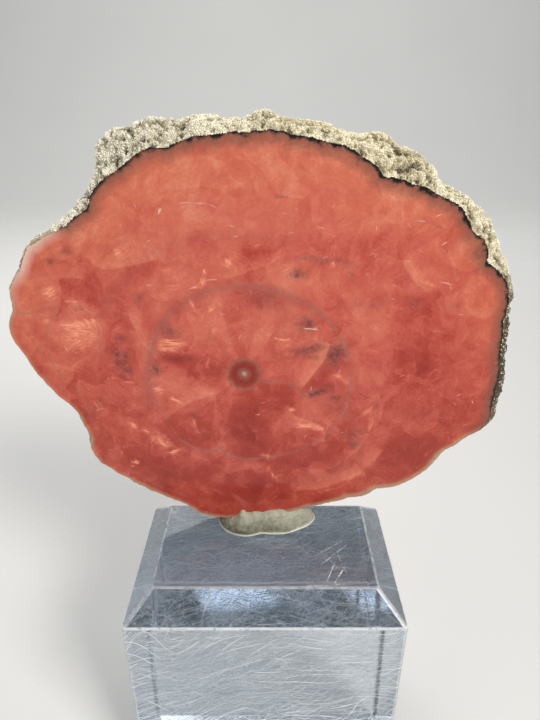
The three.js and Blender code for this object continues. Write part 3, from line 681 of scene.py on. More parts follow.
def slice_form(settings):
    """Points and faces of the whole slice, the rim's faces apart, with its two outlines and its relief."""
    eye, depths, angles, rings = slice_rings(settings.steps_round)
    front_y, back_y = depths[0], depths[-1]
    depth = back_y - front_y
    places, faces, rim_faces = [], [], []
    cos, sin = np.cos(angles), np.sin(angles)
    edge = np.stack([cos, sin, cos * 0], 1) * rings[0][:, None]
    chips = lattice_noise(edge, CHIP_CELL, 11)
    chips += 0.6 * lattice_noise(edge, FINE_CHIP_CELL, 12)

    def ring_at(radius, y, n):
        every = len(angles) // n
        start = len(places)
        for k in range(n):
            j = k * every
            places.append((eye[0] + radius[j] * cos[j], y, eye[2] + radius[j] * sin[j]))
        return list(range(start, start + n))

    # The bare lower rim is smooth, and the rind lumpy
    look = np.array(RIM_LOOK, float)
    degrees = np.degrees(angles)
    lumpy = np.clip((np.interp(degrees, look[:, 0], look[:, 3]) - 0.4) / 0.4, 0.12, 1)
    # Ridges run back from the face on the left of the rind, and along the rim on its right
    leftward = np.clip((degrees - 75) / 30, 0, 1) * np.clip((330 - degrees) / 30, 0, 1)
    count = settings.rim_rings
    steps = np.arange(count + 1)
    shares = (1 - np.cos(np.pi * steps / count)) / 2 * 0.6 + 0.4 * steps / count
    rim, relief = [], []
    for share in shares:
        y = front_y + share * depth
        radius = np.array([np.interp(y, depths, rings[:, j]) for j in range(len(angles))])
        spots = np.stack([radius * cos, np.full_like(radius, y), radius * sin], 1)
        fade = min(1.0, share * depth / EDGE_FADE, (1 - share) * depth / EDGE_FADE)
        lumps = lattice_noise(spots, LUMP_CELL, 3)
        back_ridges = 1 - 2 * np.abs(lattice_noise(spots * (1, 0.25, 1), BACK_RIDGE_CELL, 4))
        rim_ridges = 1 - 2 * np.abs(lattice_noise(spots * (0.5, 1.5, 0.5), RIM_RIDGE_CELL, 6))
        lumps = 0.6 * lumps + 1.2 * leftward * back_ridges + (1 - leftward) * rim_ridges
        grit = 1 - 3 * np.abs(lattice_noise(spots * (1, 0.6, 1), GRIT_CELL, 5))
        # How high the rind stands here, which sets its painted shade and light
        relief.append(0.8 * lumps + 0.6 * grit)
        stands = settings.rind_lump * lumps + settings.rind_grit * grit
        radius = radius + fade * lumpy * stands + settings.edge_chips * chips
        rim.append(ring_at(radius, y, len(angles)))
        if share == shares[0]:
            front_radius = radius
        if share == shares[-1]:
            back_radius = radius
    for outer, inner in zip(rim, rim[1:]):
        rim_faces += bridge(outer, inner)
    for radius, y, first, step in (
        (front_radius, front_y, rim[0], settings.face_step),
        (back_radius, back_y, rim[-1], settings.back_step),
    ):
        outer = first
        for share, n in zip(*face_rings(radius, step)):
            inner = ring_at(radius * share, y, n)
            faces += bridge(outer, inner)
            outer = inner
        places.append((eye[0], y, eye[2]))
        faces += [(outer[k], outer[(k + 1) % len(outer)], len(places) - 1) for k in range(len(outer))]
    relief = np.concatenate([*relief, np.zeros(len(places) - len(relief) * len(angles))])
    return np.array(places), faces, rim_faces, eye, (front_radius, back_radius), angles, relief


def soft_spots(x, z, spots):
    """The strongest of some soft-edged spots at each point."""
    total = np.zeros(len(x))
    for cx, cz, long, wide, tilt, strength in spots:
        c, s = math.cos(math.radians(tilt)), math.sin(math.radians(tilt))
        u, v = (x - cx) * c + (z - cz) * s, (z - cz) * c - (x - cx) * s
        total = np.maximum(total, strength * np.exp(-((u / long) ** 2) - (v / wide) ** 2))
    return total


def zone_tones(x, z):
    """Sum of the zones' tones at each point, each with its own softness of edge."""
    total = np.zeros(len(x))
    for tone, soft, outline in ZONES:
        line = closed_line(outline)
        distance = np.full(len(x), 1e9)
        inside = np.zeros(len(x), bool)
        for (ax, az), (bx, bz) in zip(line, np.roll(line, -1, axis=0)):
            length = math.hypot(bx - ax, bz - az) + 1e-9
            along = np.clip(((x - ax) * (bx - ax) + (z - az) * (bz - az)) / length, 0, length)
            away = np.hypot(x - ax - along * (bx - ax) / length, z - az - along * (bz - az) / length)
            distance = np.minimum(distance, away)
            crosses = (az > z) != (bz > z)
            inside ^= crosses & (x < ax + (z - az) * (bx - ax) / (bz - az + 1e-12))
        signed = np.where(inside, distance, -distance)
        share = np.clip(signed / (2 * soft) + 0.5, 0, 1)
        total += tone * share * share * (3 - 2 * share)
    return total


def spray_weight(x, z, spray):
    """How strongly a spray shows at each point, with the place along and across its fibres."""
    ax, az, way, half, length, strength = spray
    out = np.hypot(x - ax, z - az)
    turn = np.degrees(np.arctan2(z - az, x - ax)) - way
    turn = np.mod(turn + 180, 360) - 180
    begin = np.clip(out / (0.15 * length), 0, 1)
    finish = np.clip((length - out) / (0.45 * length), 0, 1)
    weight = strength * np.exp(-((turn / half) ** 4)) * begin * finish
    return weight, out, np.radians(turn) * length * 0.6


def fibre_places(x, z):
    """Places along and across the fibres of the glint or spray that is strongest at each point."""
    best = np.zeros(len(x))
    fibres = np.zeros((len(x), 3))
    for number, (cx, cz, long, wide, tilt, strength) in enumerate(GLINT_SPOTS):
        if wide > long:
            tilt += 90
        c, s = math.cos(math.radians(tilt)), math.sin(math.radians(tilt))
        u, v = (x - cx) * c + (z - cz) * s, (z - cz) * c - (x - cx) * s
        weight = strength * np.exp(-(u**2 + v**2) / (1.5 * max(long, wide)) ** 2)
        closer = weight > best
        best = np.where(closer, weight, best)
        fibres[closer] = np.stack([u, v, np.full(len(x), number * 3.7)], 1)[closer]
    for number, spray in enumerate(SPRAYS):
        weight, u, v = spray_weight(x, z, spray)
        closer = weight > best
        best = np.where(closer, weight, best)
        fibres[closer] = np.stack([u, v, np.full(len(x), 500 + number * 3.7)], 1)[closer]
    return fibres


def paint_growth(mesh, x, z):
    """Writes the zones, the broad bands, the thin growth lines and the facets' edges to the mesh."""
    put_attribute(mesh, "zones", zone_tones(x, z))
    bands = np.zeros(len(x))
    for half, strength, line in GROWTH_BANDS:
        signed, past = to_line(x, z, line)
        bands = np.maximum(bands, strength * np.exp(-((signed / half) ** 2) - (past / 3) ** 2))
    put_attribute(mesh, "bands", bands)
    nearest, show = np.full(len(x), FAR), np.zeros(len(x))
    for half, strength, line in GROWTH_LINES:
        signed, past = to_line(x, z, line)
        closer = np.abs(signed) < np.abs(nearest)
        nearest = np.where(closer, signed * DRAWN_HALF / half, nearest)
        show = np.where(closer, strength * np.clip(1 - past / 0.8, 0, 1), show)
    put_attribute(mesh, "line_mm", nearest)
    put_attribute(mesh, "line_show", show)
    nearest, show = np.full(len(x), FAR), np.zeros(len(x))
    for strength, line in FACET_EDGES:
        signed, past = to_line(x, z, line)
        closer = np.abs(signed) < np.abs(nearest)
        nearest = np.where(closer, signed, nearest)
        show = np.where(closer, strength * np.clip(1 - past / 1.2, 0, 1), show)
    put_attribute(mesh, "facet_mm", nearest)
    put_attribute(mesh, "facet_show", show)


def paint_scratches(mesh, x, z):
    """Writes the distance to the nearest scratch of the polish, and how strongly it shows."""
    chance = np.random.default_rng(77)
    strewn = [(chance.uniform(-36, 42), chance.uniform(-27, 36), chance.uniform(0.12, 0.45),
               chance.uniform(-90, 90), chance.uniform(0.12, 0.45)) for _ in range(STRAY_SCRATCHES)]
    nearest, show = np.full(len(x), FAR), np.zeros(len(x))
    for cx, cz, half, tilt, strength in SCRATCHES + tuple(strewn):
        c, s = math.cos(math.radians(tilt)), math.sin(math.radians(tilt))
        along, across = (x - cx) * c + (z - cz) * s, (z - cz) * c - (x - cx) * s
        across = across + 0.06 * along**2 / half
        closer = (np.abs(across) < np.abs(nearest)) & (np.abs(along) < half + 0.5)
        nearest = np.where(closer, across, nearest)
        show = np.where(closer, strength * np.clip((half + 0.15 - np.abs(along)) / 0.3, 0, 1), show)
    put_attribute(mesh, "scratch_mm", nearest)
    put_attribute(mesh, "scratch_show", show)


def rim_distances(x, y, z, outlines, angles):
    """How far each point lies in from the outline of the polished face on its side, in mm."""
    to_rim = np.zeros(len(x))
    for radius, mine in zip(outlines, (y < y.max() / 2, y >= y.max() / 2)):
        outline = KDTree(len(angles))
        for k, angle in enumerate(angles):
            outline.insert((radius[k] * math.cos(angle), 0, radius[k] * math.sin(angle)), k)
        outline.balance()
        gap = math.pi * radius.mean() / len(angles)
        away = np.array([outline.find((px * MM, 0, pz * MM))[2] for px, pz in zip(x[mine], z[mine])])
        to_rim[mine] = np.sqrt(np.maximum(away**2 - gap**2 / 4, 0)) / MM
    return to_rim


def paint_slice(mesh, places, eye, outlines, angles):
    """Writes the listed markings to the mesh as plain numbers, for the material to colour."""
    x, z = (places[:, 0] - eye[0]) / MM, (places[:, 2] - eye[2]) / MM
    y = (places[:, 1] - places[:, 1].min()) / MM
    points = np.stack([x, y * 0.4, z], 1)
    drift = [lattice_noise(points, 3.2, seed) * 0.45 + lattice_noise(points, 1.1, seed + 1) * 0.22
             for seed in (21, 31)]
    wx, wz = x + drift[0], z + drift[1]
    for name, spots in (("pale", PALE_SPOTS), ("deep", DEEP_SPOTS), ("smoke", SMOKE_SPOTS)):
        put_attribute(mesh, name, soft_spots(wx, wz, spots))
    # Painted reflections: where the cleavage planes and their sprays shine
    glint = soft_spots(wx, wz, GLINT_SPOTS)
    for spray in SPRAYS:
        glint = np.maximum(glint, spray_weight(wx, wz, spray)[0])
    put_attribute(mesh, "glint", glint)
    put_attribute(mesh, "fibre", fibre_places(x, z))
    small = [lattice_noise(points, 1.6, seed) * 0.14 for seed in (41, 42)]
    paint_growth(mesh, x + small[0], z + small[1])
    paint_scratches(mesh, x, z)
    put_attribute(mesh, "rim_mm", rim_distances(x, y, z, outlines, angles))
    turn = np.degrees(np.mod(np.arctan2(z, x), 2 * math.pi))
    look = np.array(RIM_LOOK, float)
    for column, name in enumerate(("seam", "skin", "rind", "gold", "black"), start=1):
        put_attribute(mesh, name, np.interp(turn, look[:, 0], look[:, column]))
    middle, spread = FROST
    put_attribute(mesh, "frost", np.exp(-(((turn - middle) / spread) ** 2)))


def growth_wedges(tree, place):
    """How bright the wedges are that grew out from the growth centre, and the fine rays in them."""
    parts = add(tree, "SeparateXYZ", {0: place})
    turn = add(tree, "Math", {0: parts.outputs["Z"], 1: parts.outputs["X"]},
               operation="ARCTAN2").outputs[0]
    out = add(tree, "VectorMath", {0: place}, operation="LENGTH").outputs["Value"]
    wedge_turn = add(tree, "Math", {0: turn, 1: 2.4}, operation="MULTIPLY").outputs[0]
    wedge_out = add(tree, "Math", {0: out, 1: 0.075}, operation="MULTIPLY").outputs[0]
    wedge_place = add(tree, "CombineXYZ", {0: wedge_turn, 1: wedge_out}).outputs[0]
    wedge = add(tree, "TexVoronoi", {"Vector": wedge_place, "Scale": 1.0}).outputs["Color"]
    wedge = add(tree, "SeparateColor", {0: wedge}).outputs[0]
    inside = add(tree, "MapRange", {0: out, 1: 21.0, 2: 12.0}).outputs[0]
    ray_place = add(tree, "CombineXYZ", {0: turn, 1: wedge_out}).outputs[0]
    rays = add(tree, "TexNoise",
               {"Vector": ray_place, "Scale": 26.0, "Detail": 3.0, "Distortion": 0.4}).outputs[0]
    wedge_lit = add(tree, "Math", {0: wedge, 1: 0.5}, operation="SUBTRACT").outputs[0]
    wedge_lit = add(tree, "Math", {0: wedge_lit, 1: inside}, operation="MULTIPLY").outputs[0]
    return wedge_lit, rays


def crystal_sprays(tree, bent):
    """Sprays of crystal: each cell is one, with fibres that run out from its own middle."""
    spray = add(tree, "TexVoronoi", {"Vector": bent, "Scale": 0.15})
    spray_tone = add(tree, "SeparateColor", {0: spray.outputs["Color"]}).outputs[0]
    spray_way = add(tree, "VectorMath", {0: bent, 1: spray.outputs["Position"]},
                    operation="SUBTRACT").outputs[0]
    spray_parts = add(tree, "SeparateXYZ", {0: spray_way})
    spray_turn = add(tree, "Math", {0: spray_parts.outputs["Z"], 1: spray_parts.outputs["X"]},
                     operation="ARCTAN2").outputs[0]
    spray_out = add(tree, "VectorMath", {0: spray_way}, operation="LENGTH").outputs["Value"]
    spray_out = add(tree, "Math", {0: spray_out, 1: 0.12}, operation="MULTIPLY").outputs[0]
    spray_place = add(tree, "CombineXYZ", {0: spray_turn, 1: spray_out, 2: spray_tone}).outputs[0]
    fibres = add(tree, "TexNoise",
                 {"Vector": spray_place, "Scale": 7.0, "Detail": 4.0, "Roughness": 0.6}).outputs[0]
    return spray_tone, fibres


def facet_edges(tree, mark):
    """Brightness beside a facet's edge: sharp at the edge, and fading over 2.4 mm."""
    faded = add(tree, "MapRange", {0: mark["facet_mm"], 1: 0.0, 2: 2.4, 3: 1.0, 4: 0.0}).outputs[0]
    sharp = add(tree, "MapRange", {0: mark["facet_mm"], 1: -0.12, 2: 0.06}).outputs[0]
    facet = add(tree, "Math", {0: faded, 1: sharp}, operation="MULTIPLY").outputs[0]
    return add(tree, "Math", {0: facet, 1: mark["facet_show"]}, operation="MULTIPLY").outputs[0]


def painted_glints(tree, mark, bent):
    """Painted reflections of the cleavage planes: how strongly each shows, and where it turns to the
    brightest peach. Each glint's streaks follow its own fibres, about 0.3 mm apart, and noise strews
    smaller ones between."""
    fibre = add(tree, "Attribute", attribute_name="fibre").outputs["Vector"]
    fibre = add(tree, "VectorMath", {0: fibre, 1: (0.7, 3.6, 1.0)}, operation="MULTIPLY").outputs[0]
    streaks = add(tree, "TexNoise",
                  {"Vector": fibre, "Scale": 1.0, "Detail": 3.0, "Distortion": 0.6}).outputs[0]
    streaks = add(tree, "MapRange", {0: streaks, 1: 0.34, 2: 0.7, 3: 0.35, 4: 1.35}).outputs[0]
    painted_glow = add(tree, "Math", {0: mark["glint"], 1: streaks}, operation="MULTIPLY").outputs[0]
    stray = add(tree, "TexNoise",
                {"Vector": bent, "Scale": 0.8, "Detail": 5.0, "Distortion": 0.2}).outputs[0]
    stray = add(tree, "MapRange", {0: stray, 1: 0.6, 2: 0.78, 3: 0.0, 4: 0.45}).outputs[0]
    painted_glow = add(tree, "Math", {0: painted_glow, 1: stray}, operation="ADD").outputs[0]
    painted_flash = add(tree, "MapRange", {0: painted_glow, 1: 0.6, 2: 1.25}).outputs[0]
    painted_glow = add(tree, "MapRange", {0: painted_glow, 1: 0.08, 2: 0.85}, interpolation_type="SMOOTHSTEP").outputs[0]
    return painted_glow, painted_flash


def fine_lines(tree, mark, bent, cloud):
    """Thin growth lines, healed cracks as contour lines of a noise, and the scratches of the polish."""
    thin = add(tree, "Math", {0: mark["line_mm"]}, operation="ABSOLUTE").outputs[0]
    thin = add(tree, "MapRange", {0: thin, 1: 0.1, 2: 0.34, 3: 1.0, 4: 0.0},
               interpolation_type="SMOOTHSTEP").outputs[0]
    thin = add(tree, "Math", {0: thin, 1: mark["line_show"]}, operation="MULTIPLY").outputs[0]
    broken = add(tree, "MapRange", {0: cloud, 1: 0.35, 2: 0.6, 3: 0.3, 4: 0.85}).outputs[0]
    thin = add(tree, "Math", {0: thin, 1: broken}, operation="MULTIPLY").outputs[0]
    crack = add(tree, "TexNoise",
                {"Vector": bent, "Scale": 0.3, "Detail": 2.0, "Distortion": 0.6}).outputs[0]
    crack = add(tree, "Math", {0: crack, 1: 0.5}, operation="SUBTRACT").outputs[0]
    crack = add(tree, "Math", {0: crack}, operation="ABSOLUTE").outputs[0]
    crack = add(tree, "MapRange", {0: crack, 1: 0.0, 2: 0.007, 3: 0.3, 4: 0.0}).outputs[0]
    crack = add(tree, "Math", {0: crack, 1: broken}, operation="MULTIPLY").outputs[0]
    scratch = add(tree, "Math", {0: mark["scratch_mm"]}, operation="ABSOLUTE").outputs[0]
    scratch = add(tree, "MapRange", {0: scratch, 1: 0.03, 2: 0.12, 3: 1.0, 4: 0.0}).outputs[0]
    scratch = add(tree, "Math", {0: scratch, 1: mark["scratch_show"]}, operation="MULTIPLY").outputs[0]
    return thin, crack, scratch


def rim_marks(tree, mark, place, fine):
    """The rim: a black seam and a brown stain where there is a rind, and beige skin or whitish crystal
    where there is none."""
    ragged = add(tree, "Math", {0: fine, 1: 0.5}, operation="SUBTRACT").outputs[0]
    ragged = add(tree, "Math", {0: ragged, 1: 0.7, 2: mark["rim_mm"]},
                 operation="MULTIPLY_ADD").outputs[0]
    swell = add(tree, "TexNoise", {"Vector": place, "Scale": 0.7, "Detail": 1.0}).outputs[0]
    swell = add(tree, "MapRange", {0: swell, 1: 0.35, 2: 0.65, 3: 0.15, 4: 1.25}).outputs[0]
    seam = add(tree, "Math", {0: mark["seam"], 1: swell}, operation="MULTIPLY").outputs[0]
    from_seam = add(tree, "Math", {0: ragged, 1: seam}, operation="SUBTRACT").outputs[0]
    seam = add(tree, "MapRange", {0: from_seam, 1: -0.2, 2: 0.3, 3: 1.0, 4: 0.0}).outputs[0]
    has_seam = add(tree, "MapRange", {0: mark["seam"], 1: 0.05, 2: 0.3}).outputs[0]
    seam = add(tree, "Math", {0: seam, 1: has_seam}, operation="MULTIPLY").outputs[0]
    stain = add(tree, "MapRange", {0: from_seam, 1: -0.2, 2: 2.7, 3: 0.85, 4: 0.0},
                interpolation_type="SMOOTHSTEP").outputs[0]
    stain = add(tree, "Math", {0: stain, 1: has_seam}, operation="MULTIPLY").outputs[0]
    skin = add(tree, "Math", {0: ragged, 1: mark["skin"]}, operation="SUBTRACT").outputs[0]
    skin = add(tree, "MapRange", {0: skin, 1: -0.4, 2: 0.6, 3: 0.85, 4: 0.0},
               interpolation_type="SMOOTHSTEP").outputs[0]
    has_skin = add(tree, "MapRange", {0: mark["skin"], 1: 0.05, 2: 0.25}).outputs[0]
    skin = add(tree, "Math", {0: skin, 1: has_skin}, operation="MULTIPLY").outputs[0]
    frost = add(tree, "MapRange", {0: ragged, 1: 0.1, 2: 1.7, 3: 0.85, 4: 0.0}).outputs[0]
    frost = add(tree, "Math", {0: frost, 1: mark["frost"]}, operation="MULTIPLY").outputs[0]
    return seam, stain, skin, frost


def growth_eye(tree, place):
    """The eye at the growth centre: its colour, and where it shows."""
    eye_place = add(tree, "VectorMath", {0: place, 1: (-0.2, 0.0, -0.3)}, operation="SUBTRACT").outputs[0]
    eye_place = add(tree, "VectorMath", {0: eye_place, 1: (1, 0, 1)}, operation="MULTIPLY").outputs[0]
    eye_out = add(tree, "VectorMath", {0: eye_place}, operation="LENGTH").outputs["Value"]
    wobble = add(tree, "TexNoise", {"Vector": place, "Scale": 0.8, "Detail": 3.0}).outputs[0]
    wobble = add(tree, "Math", {0: wobble, 1: 0.5}, operation="SUBTRACT").outputs[0]
    eye_out = add(tree, "Math", {0: wobble, 1: 1.1, 2: eye_out}, operation="MULTIPLY_ADD").outputs[0]
    eye_share = add(tree, "Math", {0: eye_out, 1: EYE_REACH}, operation="DIVIDE").outputs[0]
    rings = [(share, linear(colour)) for share, colour in EYE_COLOURS]
    eye_colour = add(tree, "ValToRGB", {"Fac": eye_share}, rings).outputs["Color"]
    eye_show = add(tree, "MapRange", {0: eye_out, 1: 2.9, 2: 3.5, 3: 1.0, 4: 0.0}).outputs[0]
    return eye_colour, eye_show


def polished_stone(settings, eye):
    """Polished rhodochrosite: a soft, glassy carbonate, lapped and buffed. Clear red crystal with milky
    zones and grey oxide specks, with painted peach reflections of its cleavage planes, under a soft,
    even polish."""
    material, tree = new_material("polished_rhodochrosite")
    place = add(tree, "TexCoord").outputs["Object"]
    place = add(tree, "VectorMath", {0: place, 1: tuple(eye)}, operation="SUBTRACT").outputs[0]
    # Millimetres from the growth centre. The zones run nearly straight through the slice.
    place = add(tree, "VectorMath", {0: place, 1: (TO_MM, 0.35 * TO_MM, TO_MM)},
                operation="MULTIPLY").outputs[0]
    drift = add(tree, "TexNoise", {"Vector": place, "Scale": 0.16, "Detail": 2.0}).outputs["Color"]
    drift = add(tree, "VectorMath", {0: drift, 1: (0.5, 0.5, 0.5)}, operation="SUBTRACT").outputs[0]
    drift = add(tree, "VectorMath", {0: drift, "Scale": 5.0}, operation="SCALE").outputs[0]
    bent = add(tree, "VectorMath", {0: place, 1: drift}, operation="ADD").outputs[0]
    mark = {
        name: add(tree, "Attribute", attribute_name=name).outputs["Fac"]
        for name in ("pale", "deep", "smoke", "glint", "bands", "line_mm", "line_show", "facet_mm",
                     "facet_show", "rim_mm", "seam", "skin", "frost", "zones", "scratch_mm",
                     "scratch_show")
    }

    chip = add(tree, "TexVoronoi", {"Vector": bent, "Scale": 0.42})
    chip_tone = add(tree, "SeparateColor", {0: chip.outputs["Color"]}).outputs[0]
    broad = add(tree, "TexNoise", {"Vector": place, "Scale": 0.075, "Detail": 3.0}).outputs[0]
    cloud = add(tree, "TexNoise",
                {"Vector": bent, "Scale": 0.34, "Detail": 6.0, "Distortion": 0.3}).outputs[0]
    fine = add(tree, "TexNoise", {"Vector": place, "Scale": 2.2, "Detail": 4.0}).outputs[0]
    height = add(tree, "SeparateXYZ", {0: place}).outputs["Z"]
    lift = add(tree, "MapRange", {0: height, 1: -34.0, 2: 40.0}).outputs[0]
    wedge_lit, rays = growth_wedges(tree, place)
    spray_tone, fibres = crystal_sprays(tree, bent)
    facet = facet_edges(tree, mark)

    # All that makes the stone lighter or darker, as shares of the ramp from deep red to blush
    tone = None
    for source, middle, share in (
        (broad, 0.5, 0.45), (cloud, 0.5, 0.5), (fine, 0.5, 0.2), (lift, 0.5, 0.42),
        (spray_tone, 0.5, 0.14), (fibres, 0.5, 0.28), (chip_tone, 0.5, 0.1), (wedge_lit, 0.0, 0.14),
        (rays, 0.5, 0.15), (facet, 0.0, 0.34), (mark["zones"], 0.0, 0.5), (mark["pale"], 0.0, 0.2),
        (mark["deep"], 0.0, -0.18),
    ):
        shift = 0.5 - middle * share if tone is None else -middle * share
        scaled = add(tree, "Math", {0: source, 1: share, 2: shift},
                     operation="MULTIPLY_ADD").outputs[0]
        tone = scaled if tone is None else add(tree, "Math", {0: tone, 1: scaled},
                                               operation="ADD").outputs[0]
    body = add(tree, "ValToRGB", {"Fac": tone}, (
        (0.08, settings.deep), (0.32, settings.red), (0.52, settings.rose), (0.74, settings.salmon),
        (0.98, settings.blush),
    )).outputs["Color"]

    # Grey smoke in small clots
    clots = add(tree, "TexNoise",
                {"Vector": place, "Scale": 1.3, "Detail": 5.0, "Roughness": 0.6}).outputs[0]
    clots = add(tree, "MapRange", {0: clots, 1: 0.36, 2: 0.58, 3: 0.35, 4: 1.1}).outputs[0]
    smoke = add(tree, "Math", {0: mark["smoke"], 1: clots}, operation="MULTIPLY",
                use_clamp=True).outputs[0]
    bands = add(tree, "Math", {0: mark["bands"], 1: 0.6}, operation="MULTIPLY").outputs[0]
    # Painted reflections of the cleavage planes
    painted_glow, painted_flash = painted_glints(tree, mark, bent)
    thin, crack, scratch = fine_lines(tree, mark, bent, cloud)
    seam, stain, skin, frost = rim_marks(tree, mark, place, fine)
    eye_colour, eye_show = growth_eye(tree, place)

    # The outer growth is more orange, and the ring within it pinker
    hue = add(tree, "Math", {0: cloud, 1: 9.0, 2: mark["rim_mm"]}, operation="MULTIPLY_ADD").outputs[0]
    hue = add(tree, "MapRange", {0: hue, 1: 7.0, 2: 16.0, 3: 1.0, 4: 0.0}).outputs[0]
    orange = add(tree, "VectorMath", {0: body, 1: (1.0, 1.0, 0.91)}, operation="MULTIPLY").outputs[0]
    pink = add(tree, "VectorMath", {0: body, 1: (1.0, 0.99, 1.0)}, operation="MULTIPLY").outputs[0]
    colour = add(tree, "Mix", {MIX_FACTOR: hue, MIX_A: pink, MIX_B: orange},
                 data_type="RGBA").outputs[MIX_RESULT]
    for factor, tint in (
        (bands, settings.mauve), (smoke, settings.smoke), (thin, settings.line),
        (crack, settings.deep), (painted_glow, settings.glint), (painted_flash, settings.painted_flash),
        (eye_show, eye_colour), (scratch, settings.frost), (skin, settings.skin),
        (frost, settings.frost), (stain, settings.brown), (seam, settings.oxide),
    ):
        colour = add(tree, "Mix", {MIX_FACTOR: factor, MIX_A: colour, MIX_B: tint},
                     data_type="RGBA").outputs[MIX_RESULT]

    rough = add(tree, "MapRange", {0: cloud, 1: 0.3, 2: 0.7, 3: 0.2, 4: 0.3}).outputs[0]
    shader = add(tree, "BsdfPrincipled", {
        "Base Color": colour, "Roughness": rough, "IOR": RHODOCHROSITE_IOR, "Specular IOR Level": 0.3,
        "Subsurface Weight": 0.18, "Subsurface Radius": (1.0, 0.35, 0.25), "Subsurface Scale": 0.9 * MM,
        "Coat Weight": 0.08, "Coat Roughness": 0.06, "Coat IOR": POLISH_IOR,
    })
    add(tree, "OutputMaterial", {"Surface": shader.outputs[0]})
    return material


def natural_rind(settings):
    """Natural rind: manganese and iron oxides with fine carbonate grit, never cut. Dull and rough, dark
    in its crevices, with painted shade in its hollows and painted light on its crests, and worn down
    to a thin beige skin round the lower rim."""
    material, tree = new_material("oxide_rind")
    place = add(tree, "TexCoord").outputs["Object"]
    place = add(tree, "VectorMath", {0: place, "Scale": TO_MM}, operation="SCALE").outputs[0]
    rind = add(tree, "Attribute", attribute_name="rind").outputs["Fac"]
    grit = add(tree, "TexNoise", {"Vector": place, "Scale": 3.0, "Detail": 5.0}).outputs[0]
    blotch = add(tree, "TexNoise", {"Vector": place, "Scale": 0.5, "Detail": 3.0}).outputs[0]
    # Painted shade in the hollows and painted light on the crests, from the rind's relief, over its grit
    relief = add(tree, "Attribute", attribute_name="relief").outputs["Fac"]
    painted_light = add(tree, "MapRange", {0: relief, 1: -1.0, 2: 1.2, 3: -0.25, 4: 0.3}).outputs[0]
    painted_light = add(tree, "Math", {0: grit, 1: painted_light}, operation="ADD").outputs[0]
    dark = add(tree, "ValToRGB", {"Fac": painted_light}, (
        (0.3, settings.hollow), (0.5, settings.crevice), (0.8, settings.crest),
    )).outputs[0]
    bare = add(tree, "ValToRGB", {"Fac": blotch}, (
        (0.3, settings.bare_deep), (0.52, settings.bare), (0.72, settings.bare_pale),
    )).outputs[0]
    cover = add(tree, "MapRange", {0: rind, 1: 0.5, 2: 0.8}).outputs[0]
    colour = add(tree, "Mix", {MIX_FACTOR: cover, MIX_A: bare, MIX_B: dark},
                 data_type="RGBA").outputs[MIX_RESULT]
    black = add(tree, "Attribute", attribute_name="black").outputs["Fac"]
    colour = add(tree, "Mix", {MIX_FACTOR: black, MIX_A: colour, MIX_B: settings.black},
                 data_type="RGBA").outputs[MIX_RESULT]
    bump = add(tree, "Bump", {"Height": grit, "Strength": 0.5, "Distance": 0.1 * MM}).outputs[0]
    shader = add(tree, "BsdfPrincipled", {"Base Color": colour, "Roughness": 0.88, "Normal": bump})
    add(tree, "OutputMaterial", {"Surface": shader.outputs[0]})
    return material


class SPECIMEN_OT_slice(bpy.types.Operator):
    """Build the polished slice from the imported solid's rings"""

    bl_idname = "specimen.slice"
    bl_label = "Build the slice"

    def execute(self, context):
        settings = context.scene.specimen_slice
        places, faces, rim_faces, eye, outlines, angles, relief = slice_form(settings)
        piece = new_piece("rhodochrosite_stone", places, faces + rim_faces)
        mesh = piece.data
        mesh.materials.append(polished_stone(settings, eye))
        mesh.materials.append(natural_rind(context.scene.specimen_rind))
        slots = np.zeros(len(mesh.polygons), np.int32)
        slots[len(faces):] = 1
        mesh.polygons.foreach_set("material_index", slots)
        form = bmesh.new()
        form.from_mesh(mesh)
        bmesh.ops.recalc_face_normals(form, faces=form.faces)
        form.to_mesh(mesh)
        form.free()
        mesh.polygons.foreach_set("use_smooth", slots > 0)
        paint_slice(mesh, places, eye, outlines, angles)
        # The relief sets the rind's painted shade in the hollows and painted light on the crests
        put_attribute(mesh, "relief", relief)
        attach(piece, "root")
        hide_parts(SLICE_NODE)
        return {"FINISHED"}


